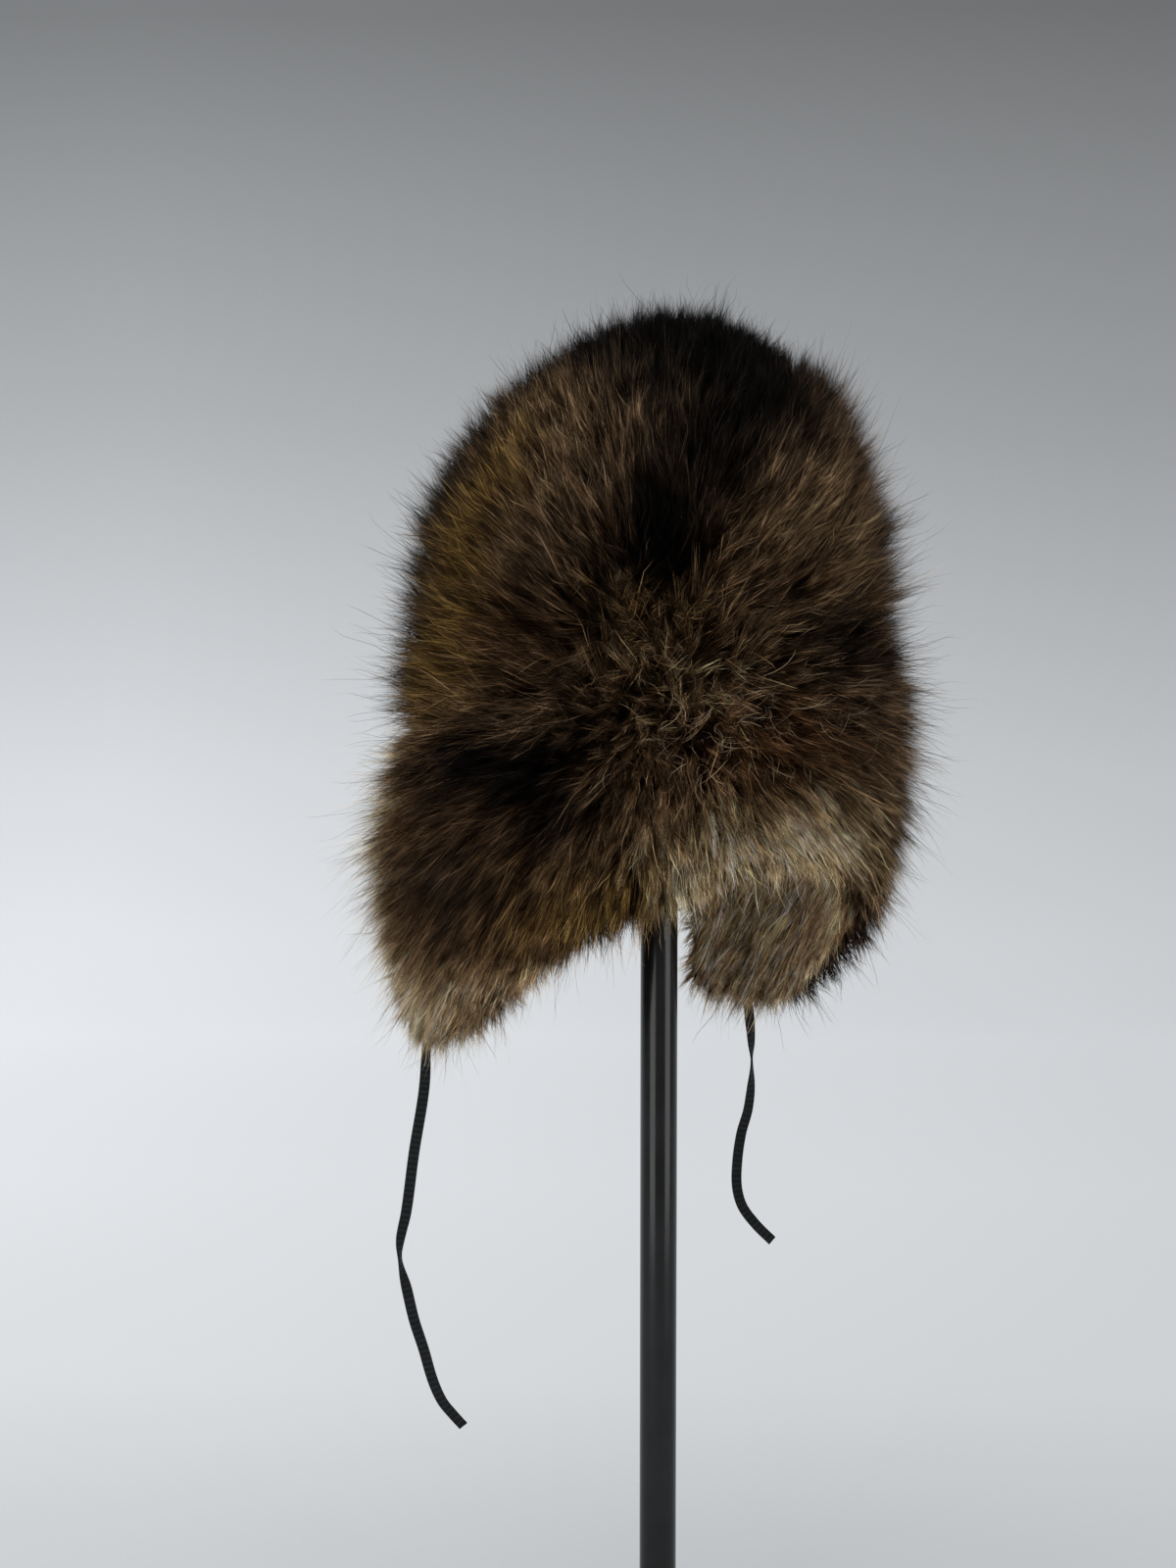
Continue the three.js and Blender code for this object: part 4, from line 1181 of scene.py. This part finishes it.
def shell_mesh(name, top, low, around=False):
    """A closed sheet between two grids of points, joined round the hat and closed at the top where around is set."""
    rows = top.shape[1] - 1
    points = np.concatenate([top.reshape(-1, 3), low.reshape(-1, 3)])
    ids = np.arange(top.shape[0] * top.shape[1]).reshape(top.shape[:2])
    if around:
        ids = np.concatenate([ids, ids[:1]])
        ids[:, -1] = ids[0, -1]
    under = ids + top.shape[0] * top.shape[1]
    faces = []
    for i in range(ids.shape[0] - 1):
        for j in range(rows):
            for grid, flip in ((ids, False), (under, True)):
                ring = [grid[i, j], grid[i + 1, j], grid[i + 1, j + 1], grid[i, j + 1]]
                ring = [int(v) for k, v in enumerate(ring) if v != ring[k - 1]]
                faces.append(ring[::-1] if flip else ring)
        faces.append([int(v) for v in (ids[i + 1, 0], ids[i, 0], under[i, 0], under[i + 1, 0])])
        if not around:
            faces.append([int(v) for v in (ids[i, -1], ids[i + 1, -1], under[i + 1, -1], under[i, -1])])
    if not around:
        for j in range(rows):
            faces.append([int(v) for v in (ids[0, j], ids[0, j + 1], under[0, j + 1], under[0, j])])
            faces.append([int(v) for v in (ids[-1, j + 1], ids[-1, j], under[-1, j], under[-1, j + 1])])
    piece = meshed(name, points.tolist(), faces)
    chosen(piece)
    bpy.ops.object.mode_set(mode="EDIT")
    bpy.ops.mesh.select_all(action="SELECT")
    bpy.ops.mesh.delete_loose(use_verts=True, use_edges=True, use_faces=False)
    bpy.ops.mesh.select_all(action="SELECT")
    bpy.ops.mesh.remove_doubles(threshold=0.00001)
    faced_out()
    smoothed(piece, 60)
    return piece


# One operator for each piece or group of like pieces


class USHANKA_OT_camera(bpy.types.Operator):
    """Sets up the camera behind the hat and to its left"""

    bl_idname = "ushanka.camera"
    bl_label = "Camera"

    def execute(self, context):
        azimuth = math.radians(CAMERA_AZIMUTH)
        back = Vector((math.sin(azimuth), -math.cos(azimuth), 0))
        right = (-back).cross(Vector((0, 0, 1)))
        aim, pitch = math.radians(CAMERA_TURN), math.radians(CAMERA_PITCH)
        ahead = (-back * math.cos(aim) - right * math.sin(aim)).normalized()
        ahead = ahead * math.cos(pitch) - Vector((0, 0, 1)) * math.sin(pitch)
        lens = bpy.data.cameras.new("camera")
        lens.lens = CAMERA_LENS
        lens.sensor_width = 36
        camera = bpy.data.objects.new("camera", lens)
        camera.location = back * CAMERA_DISTANCE + Vector((0, 0, CAMERA_HEIGHT))
        camera.rotation_mode = "QUATERNION"
        camera.rotation_quaternion = ahead.to_track_quat("-Z", "Y")
        context.scene.collection.objects.link(camera)
        context.scene.camera = camera
        return {"FINISHED"}


class USHANKA_OT_ties(bpy.types.Operator):
    """Makes the two flat ribbon ties"""

    bl_idname = "ushanka.ties"
    bl_label = "Ribbon Ties"

    def execute(self, context):
        material = ribbon_material()
        for name, route, twist in (("tie_left", TIE_LEFT, TWIST_LEFT), ("tie_right", TIE_RIGHT, TWIST_RIGHT)):
            self.tie(context, name, np.array(route), twist, material)
        return {"FINISHED"}

    def tie(self, context, name, route, twist, material):
        """A ribbon along its route, turned about its own line by its table."""
        look = context.scene.ushanka_ties
        run = np.concatenate([[0], np.cumsum(np.linalg.norm(np.diff(route, axis=0), axis=1))])
        table = {"run": run, "x": route[:, 0], "y": route[:, 1], "z": route[:, 2]}
        at = np.linspace(0, run[-1], 141)
        line = np.stack([along(table, "run", at, k) for k in "xyz"], -1)
        tangent = unit(np.gradient(line, axis=0))
        azimuth = math.radians(CAMERA_AZIMUTH)
        across = unit(np.cross(tangent, np.array((math.sin(azimuth), -math.cos(azimuth), 0.0))))
        proud = np.cross(across, tangent)
        turn = np.radians(along(twist, "along", at / run[-1], "turn"))[:, None]
        wide = across * np.cos(turn) + proud * np.sin(turn)
        thick = np.cross(wide, tangent)
        half, deep = look.width / 2, look.thickness / 2
        profile = [(-1, -0.35), (-0.9, -1), (-0.5, -0.86), (0, -0.82), (0.5, -0.86), (0.9, -1), (1, -0.35)]
        profile += [(-x, -y) for x, y in profile]
        rings = [line + wide * half * x + thick * deep * y for x, y in profile]
        points = np.stack(rings, 1)
        count, sides = points.shape[:2]
        faces = []
        for i in range(count - 1):
            for j in range(sides):
                k = (j + 1) % sides
                faces.append((i * sides + j, i * sides + k, (i + 1) * sides + k, (i + 1) * sides + j))
        faces.append(tuple(range(sides))[::-1])
        faces.append(tuple((count - 1) * sides + j for j in range(sides)))
        piece = meshed(name + "_ribbon", points.reshape(-1, 3).tolist(), faces)
        weave = piece.data.uv_layers.new(name="Weave")
        for face in piece.data.polygons:
            for corner, vertex in zip(face.loop_indices, face.vertices):
                ring, spot = divmod(vertex, sides)
                weave.data[corner].uv = (spot / sides, at[ring] * 110)
        chosen(piece)
        bpy.ops.object.mode_set(mode="EDIT")
        faced_out()
        smoothed(piece, 50)
        finished(piece, material, "ribbon", name)


class USHANKA_OT_crown_fur(bpy.types.Operator):
    """Grows the fur of the crown's four gores"""

    bl_idname = "ushanka.crown_fur"
    bl_label = "Crown Fur"

    def execute(self, context):
        material = fur_material()
        for seed, (name, (start, end)) in enumerate(GORES.items(), SEEDS["crown"]):
            grid = crown_patch(start, end)
            batches = grow(grid, HAIRS[name], CROWN_COAT, seed)
            finished(hair_mesh(name + "_hair", grid, CROWN_COAT, batches, seed), material, FUR_SLOTS[name], name)
        return {"FINISHED"}


class USHANKA_OT_flap_fur(bpy.types.Operator):
    """Grows the outer fur of the neck flap and the ear flaps"""

    bl_idname = "ushanka.flap_fur"
    bl_label = "Flap Fur"

    def execute(self, context):
        material = fur_material()
        for nth, (flap, (start, end)) in enumerate(FLAPS.items()):
            name = flap + "_fur"
            grid = flap_patch(start, end)
            batches = grow(grid, HAIRS[name], BAND_COAT, SEEDS["flap"] + nth, wild=0.4)
            hairs = edge_hairs(name, *EDGE_HAIRS)
            for edge in edge_patches(start, end, False):
                batches += grow(edge, hairs, BAND_COAT, SEEDS["edge"] + nth, wild=0.9)
            if flap == "neck_flap":
                batches += curls(grid, HAIRS["curls"], SEEDS["curls"])
            piece = hair_mesh(name + "_hair", grid, BAND_COAT, batches, SEEDS["flap"] + nth)
            finished(piece, material, FUR_SLOTS[name], name)
        return {"FINISHED"}


class USHANKA_OT_inner_fur(bpy.types.Operator):
    """Grows the short inner fur of the flaps"""

    bl_idname = "ushanka.inner_fur"
    bl_label = "Inner Fur"

    def execute(self, context):
        material = fur_material()
        for nth, (flap, (start, end)) in enumerate(FLAPS.items()):
            name = flap + "_inner_fur"
            grid = inner_patch(start, end)
            batches = grow(grid, HAIRS[name], INNER_COAT, SEEDS["inner"] + nth, pale=0.5)
            hairs = edge_hairs(name, *INNER_EDGE_HAIRS)
            for edge in edge_patches(start, end, True):
                batches += grow(edge, hairs, INNER_COAT, SEEDS["inner_edge"] + nth, pale=0.5)
            piece = hair_mesh(name + "_hair", grid, INNER_COAT, batches, SEEDS["inner"] + nth, pale=0.5)
            finished(piece, material, FUR_SLOTS[name], name)
        return {"FINISHED"}


class USHANKA_OT_visor_fur(bpy.types.Operator):
    """Grows the fur of the turned-up visor"""

    bl_idname = "ushanka.visor_fur"
    bl_label = "Visor Fur"

    def execute(self, context):
        grid = visor_patch()
        batches = grow(grid, HAIRS["visor_fur"], VISOR_COAT, SEEDS["visor"])
        batches += grow(visor_edge(), HAIRS["visor_edge"], VISOR_COAT, SEEDS["visor_edge"])
        piece = hair_mesh("visor_fur_hair", grid, VISOR_COAT, batches, SEEDS["visor"])
        finished(piece, fur_material(), FUR_SLOTS["visor_fur"], "visor_fur")
        return {"FINISHED"}


class USHANKA_OT_skin(bpy.types.Operator):
    """Makes the padded skin of the crown, the flaps and the visor"""

    bl_idname = "ushanka.skin"
    bl_label = "Padded Skin"

    def execute(self, context):
        material = skin_material()
        angles = np.arange(0, 360, 3.0)
        shares = np.linspace(0, 1, 37)
        skin = np.stack([crown_column(a, seam_height(a), shares) for a in angles])
        skin[:, -1] = skin[0, -1]
        out = outward(skin)
        out[:, -1] = (0, 0, 1)
        ridge = sum(np.exp(-((turned(angles - start) / 1.6) ** 2)) for start, _ in GORES.values())
        inside = WALL_SET_BACK + CROWN_WALL + 0.0006 * ridge[:, None, None] * (1 - shares[None, :, None])
        piece = shell_mesh("crown_skin", skin - out * WALL_SET_BACK, skin - out * inside, around=True)
        finished(piece, material, "lining", "crown_wall")
        for flap, (start, end) in FLAPS.items():
            skin = flap_skin(start, end, 40, 24)[2]
            out = outward(skin)
            piece = shell_mesh(flap + "_skin", skin - out * GAP, skin - out * FLAP_WALL)
            finished(piece, material, "lining", flap + "_wall")
        _, _, skin, out = visor_skin(40, 16)
        piece = shell_mesh("visor_skin", skin + out * (VISOR_BACK_GAP + VISOR_WALL), skin + out * VISOR_BACK_GAP)
        finished(piece, material, "lining", "visor_wall")
        return {"FINISHED"}


class USHANKA_OT_stand(bpy.types.Operator):
    """Makes the round base, the collar, the pole and the cap that the hat sits on"""

    bl_idname = "ushanka.stand"
    bl_label = "Stand"

    def execute(self, context):
        material = stand_material()
        low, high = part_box("stand_base")
        radius = high.x
        base = post("stand_base_disc", radius, low.z, high.z, 160)
        bevelled(base, high.z, radius, 0.003, 4)
        bevelled(base, low.z, radius, 0.001, 2)
        smoothed(base)
        finished(base, material, "stand_black", "stand_base")

        low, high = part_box("stand_pole")
        pole_radius = high.x
        pole = post("stand_pole_tube", pole_radius, low.z, high.z, 128)
        bevelled(pole, high.z, pole_radius, 0.0008, 2)
        smoothed(pole)
        finished(pole, material, "stand_black", "stand_pole")

        low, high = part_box("stand_collar")
        radius = high.x
        collar = post("stand_collar_ring", radius, low.z, high.z, 128)
        edit()
        pick(collar, "faces", lambda c, n: abs(n.z) > 0.9)
        bpy.ops.mesh.inset(thickness=radius - pole_radius - GAP)
        bpy.ops.object.mode_set(mode="OBJECT")
        pick(collar, "faces", lambda c, n: abs(n.z) > 0.9 and c.xy.length < 0.001)
        bpy.ops.mesh.bridge_edge_loops()
        bpy.ops.object.mode_set(mode="OBJECT")
        bevelled(collar, high.z, radius, 0.005, 5)
        smoothed(collar)
        finished(collar, material, "stand_black", "stand_collar")

        low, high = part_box("stand_cap")
        radius = high.x
        foot = 0.003
        deselect()
        bpy.ops.mesh.primitive_uv_sphere_add(segments=96, ring_count=48, radius=1, location=(0, 0, low.z + foot))
        cap = context.active_object
        cap.scale = (radius, radius, high.z - low.z - foot)
        cap = named("stand_cap_dome")
        edit()
        bpy.ops.mesh.select_all(action="SELECT")
        bpy.ops.mesh.bisect(plane_co=(0, 0, low.z + foot), plane_no=(0, 0, 1), use_fill=True, clear_inner=True)
        bpy.ops.object.mode_set(mode="OBJECT")
        pick(cap, "faces", lambda c, n: n.z < -0.9)
        bpy.ops.mesh.extrude_region_move(TRANSFORM_OT_translate={"value": (0, 0, -foot)})
        faced_out()
        bevelled(cap, low.z, radius, 0.0018, 3)
        smoothed(cap)
        finished(cap, material, "stand_black", "stand_cap")
        return {"FINISHED"}


class USHANKA_OT_stage(bpy.types.Operator):
    """Sets up the paper sweep and the soft studio lights"""

    bl_idname = "ushanka.stage"
    bl_label = "Studio"

    def execute(self, context):
        look = context.scene.ushanka_stage
        scene = context.scene
        scene.view_settings.view_transform = "Standard"
        scene.view_settings.look = "None"
        azimuth = math.radians(CAMERA_AZIMUTH)
        back = Vector((-math.sin(azimuth), math.cos(azimuth), 0))
        across = Vector((-back.y, back.x, 0))
        profile = []
        reach_back, radius, front = 2.0, 0.9, 3.0
        for s in np.linspace(-front, reach_back, 24):
            profile.append((s, 0.0))
        for a in np.linspace(0, math.pi / 2, 25)[1:]:
            profile.append((reach_back + radius * math.sin(a), radius * (1 - math.cos(a))))
        for z in np.linspace(radius, 4.2, 24)[1:]:
            profile.append((reach_back + radius, z))
        run = np.concatenate([[0], np.cumsum([math.dist(a, b) for a, b in zip(profile, profile[1:])])]) - front
        sides = np.linspace(-4.5, 4.5, 13)
        wide = len(sides)
        points, faces = [], []
        for s, z in profile:
            points += [tuple(back * s + across * side + Vector((0, 0, z))) for side in sides]
        for i in range(len(profile) - 1):
            for j in range(wide - 1):
                faces.append((i * wide + j, i * wide + j + 1, (i + 1) * wide + j + 1, (i + 1) * wide + j))
        sweep = meshed("paper_sweep", points, faces)
        uv = sweep.data.uv_layers.new(name="Sweep")
        for face in sweep.data.polygons:
            face.use_smooth = True
            for corner, vertex in zip(face.loop_indices, face.vertices):
                row, column = divmod(vertex, wide)
                uv.data[corner].uv = (column / (wide - 1), (run[row] + front) / (run[-1] + front))
        sweep.data.materials.append(self.paper(look, run, front))

        world = bpy.data.worlds.new("studio")
        world.use_nodes = True
        scene.world = world
        light = world.node_tree.nodes["Background"]
        light.inputs[0].default_value = (0.93, 0.96, 1.0, 1)
        light.inputs[1].default_value = look.sky
        for name, turn in (("left_light", -38), ("right_light", 57)):
            self.light(context, name, turn, 1.9, 0.72, 1.15, 1.6, look.side_light)
        self.light(context, "top_light", -20, 0.7, 2.1, 1.3, 1.3, look.top_light)
        return {"FINISHED"}

    def light(self, context, name, turn, distance, height, width, tall, power):
        """A soft rectangular light that faces the hat, turned round it from the camera's side."""
        a = math.radians(CAMERA_AZIMUTH + turn)
        lamp = bpy.data.lights.new(name, "AREA")
        lamp.shape = "RECTANGLE"
        lamp.size = width
        lamp.size_y = tall
        lamp.energy = power
        lamp.color = LIGHT_COLOUR
        piece = bpy.data.objects.new(name, lamp)
        piece.location = (math.sin(a) * distance, -math.cos(a) * distance, height)
        aim = Vector(LIGHT_AIM) - piece.location
        piece.rotation_mode = "QUATERNION"
        piece.rotation_quaternion = aim.to_track_quat("-Z", "Y")
        context.scene.collection.objects.link(piece)

    def paper(self, look, run, front):
        """Matt paper with painted light: palest where it meets the floor, darker towards its top, darker on one side
        and brighter on the other, and glowing by itself.
        """
        made = Nodes("backdrop_paper_painted_light")
        place = made.add("ShaderNodeUVMap", uv_map="Sweep")
        split = made.add("ShaderNodeSeparateXYZ")
        made.join(place, "UV", split, "Vector")
        tone = self.tones(look, run, front)
        # Painted light along the paper, from the table in tones
        shade = made.ramp(split, "Y", tone)
        grain = made.add("ShaderNodeTexCoord")
        fibre = made.noise(grain, "Object", 240.0, 4.0)
        fibres = made.ramp(fibre, "Fac", ((0.3, (0.985, 0.985, 0.985)), (0.7, (1, 1, 1))))
        # Painted light across the paper: darker on one side, brighter on the other
        sides = made.ramp(split, "X", ((0.41, (0.84, 0.84, 0.84)), (0.5, (0.93, 0.93, 0.93)), (0.6, (1.1, 1.1, 1.1))))
        mixed = made.mix("MULTIPLY", 1.0, shade.outputs["Color"], fibres.outputs["Color"])
        mixed = made.mix("MULTIPLY", 1.0, mixed.outputs[2], sides.outputs["Color"])
        made.tree.links.new(mixed.outputs[2], made.surface.inputs["Base Color"])
        # The paper glows in its own painted colours: painted light that also falls on the hat
        made.tree.links.new(mixed.outputs[2], made.surface.inputs["Emission Color"])
        return made.finish(Roughness=0.95, Specular_IOR_Level=0.1, Emission_Strength=look.glow)

    def tones(self, look, run, front):
        """The paper's painted light by distance along it, in metres from under the hat: brightest where the floor
        curves up, darker towards the front and much darker towards its top.
        """
        table = {
            "run": (-3.0, 0.0, 0.2, 0.5, 1.1, 1.9, 2.35, 2.75, 3.1, 3.4, 3.8, 4.1, 6.5),
            "share": (0.66, 0.72, 0.77, 0.92, 1.02, 1.06, 0.97, 0.82, 0.63, 0.47, 0.34, 0.23, 0.20),
        }
        whole = run[-1] + front
        return [((at + front) / whole, tuple(share * c for c in look.backdrop)) for at, share in zip(*table.values())]


class USHANKA_PT_panel(bpy.types.Panel):
    """Lists the hat's pieces and their sizes and colours"""

    bl_label = "Ushanka"
    bl_idname = "USHANKA_PT_panel"
    bl_space_type = "VIEW_3D"
    bl_region_type = "UI"
    bl_category = "Ushanka"

    def draw(self, context):
        for operator in OPERATORS:
            self.layout.operator(operator.bl_idname)
        for group in GROUPS:
            box = self.layout.box()
            box.label(text=group)
            for name in GROUPS[group].__annotations__:
                box.prop(getattr(context.scene, group), name)


OPERATORS = (
    USHANKA_OT_camera,
    USHANKA_OT_ties,
    USHANKA_OT_crown_fur,
    USHANKA_OT_flap_fur,
    USHANKA_OT_inner_fur,
    USHANKA_OT_visor_fur,
    USHANKA_OT_skin,
    USHANKA_OT_stand,
    USHANKA_OT_stage,
)
GROUPS = {
    "ushanka_fur": UshankaFur,
    "ushanka_ties": UshankaTies,
    "ushanka_skin": UshankaSkin,
    "ushanka_stand": UshankaStand,
    "ushanka_stage": UshankaStage,
}


def register():
    """Registers the property groups, operators and panel."""
    for name, group in GROUPS.items():
        bpy.utils.register_class(group)
        setattr(bpy.types.Scene, name, bpy.props.PointerProperty(type=group))
    for operator in (*OPERATORS, USHANKA_PT_panel):
        bpy.utils.register_class(operator)


def unregister():
    """Removes what register added."""
    for operator in (USHANKA_PT_panel, *reversed(OPERATORS)):
        bpy.utils.unregister_class(operator)
    for name, group in reversed(list(GROUPS.items())):
        delattr(bpy.types.Scene, name)
        bpy.utils.unregister_class(group)


def main():
    """Makes every piece in order."""
    register()
    for operator in OPERATORS:
        group, name = operator.bl_idname.split(".")
        getattr(getattr(bpy.ops, group), name)()
    bpy.context.view_layer.update()


if __name__ == "__main__":
    main()
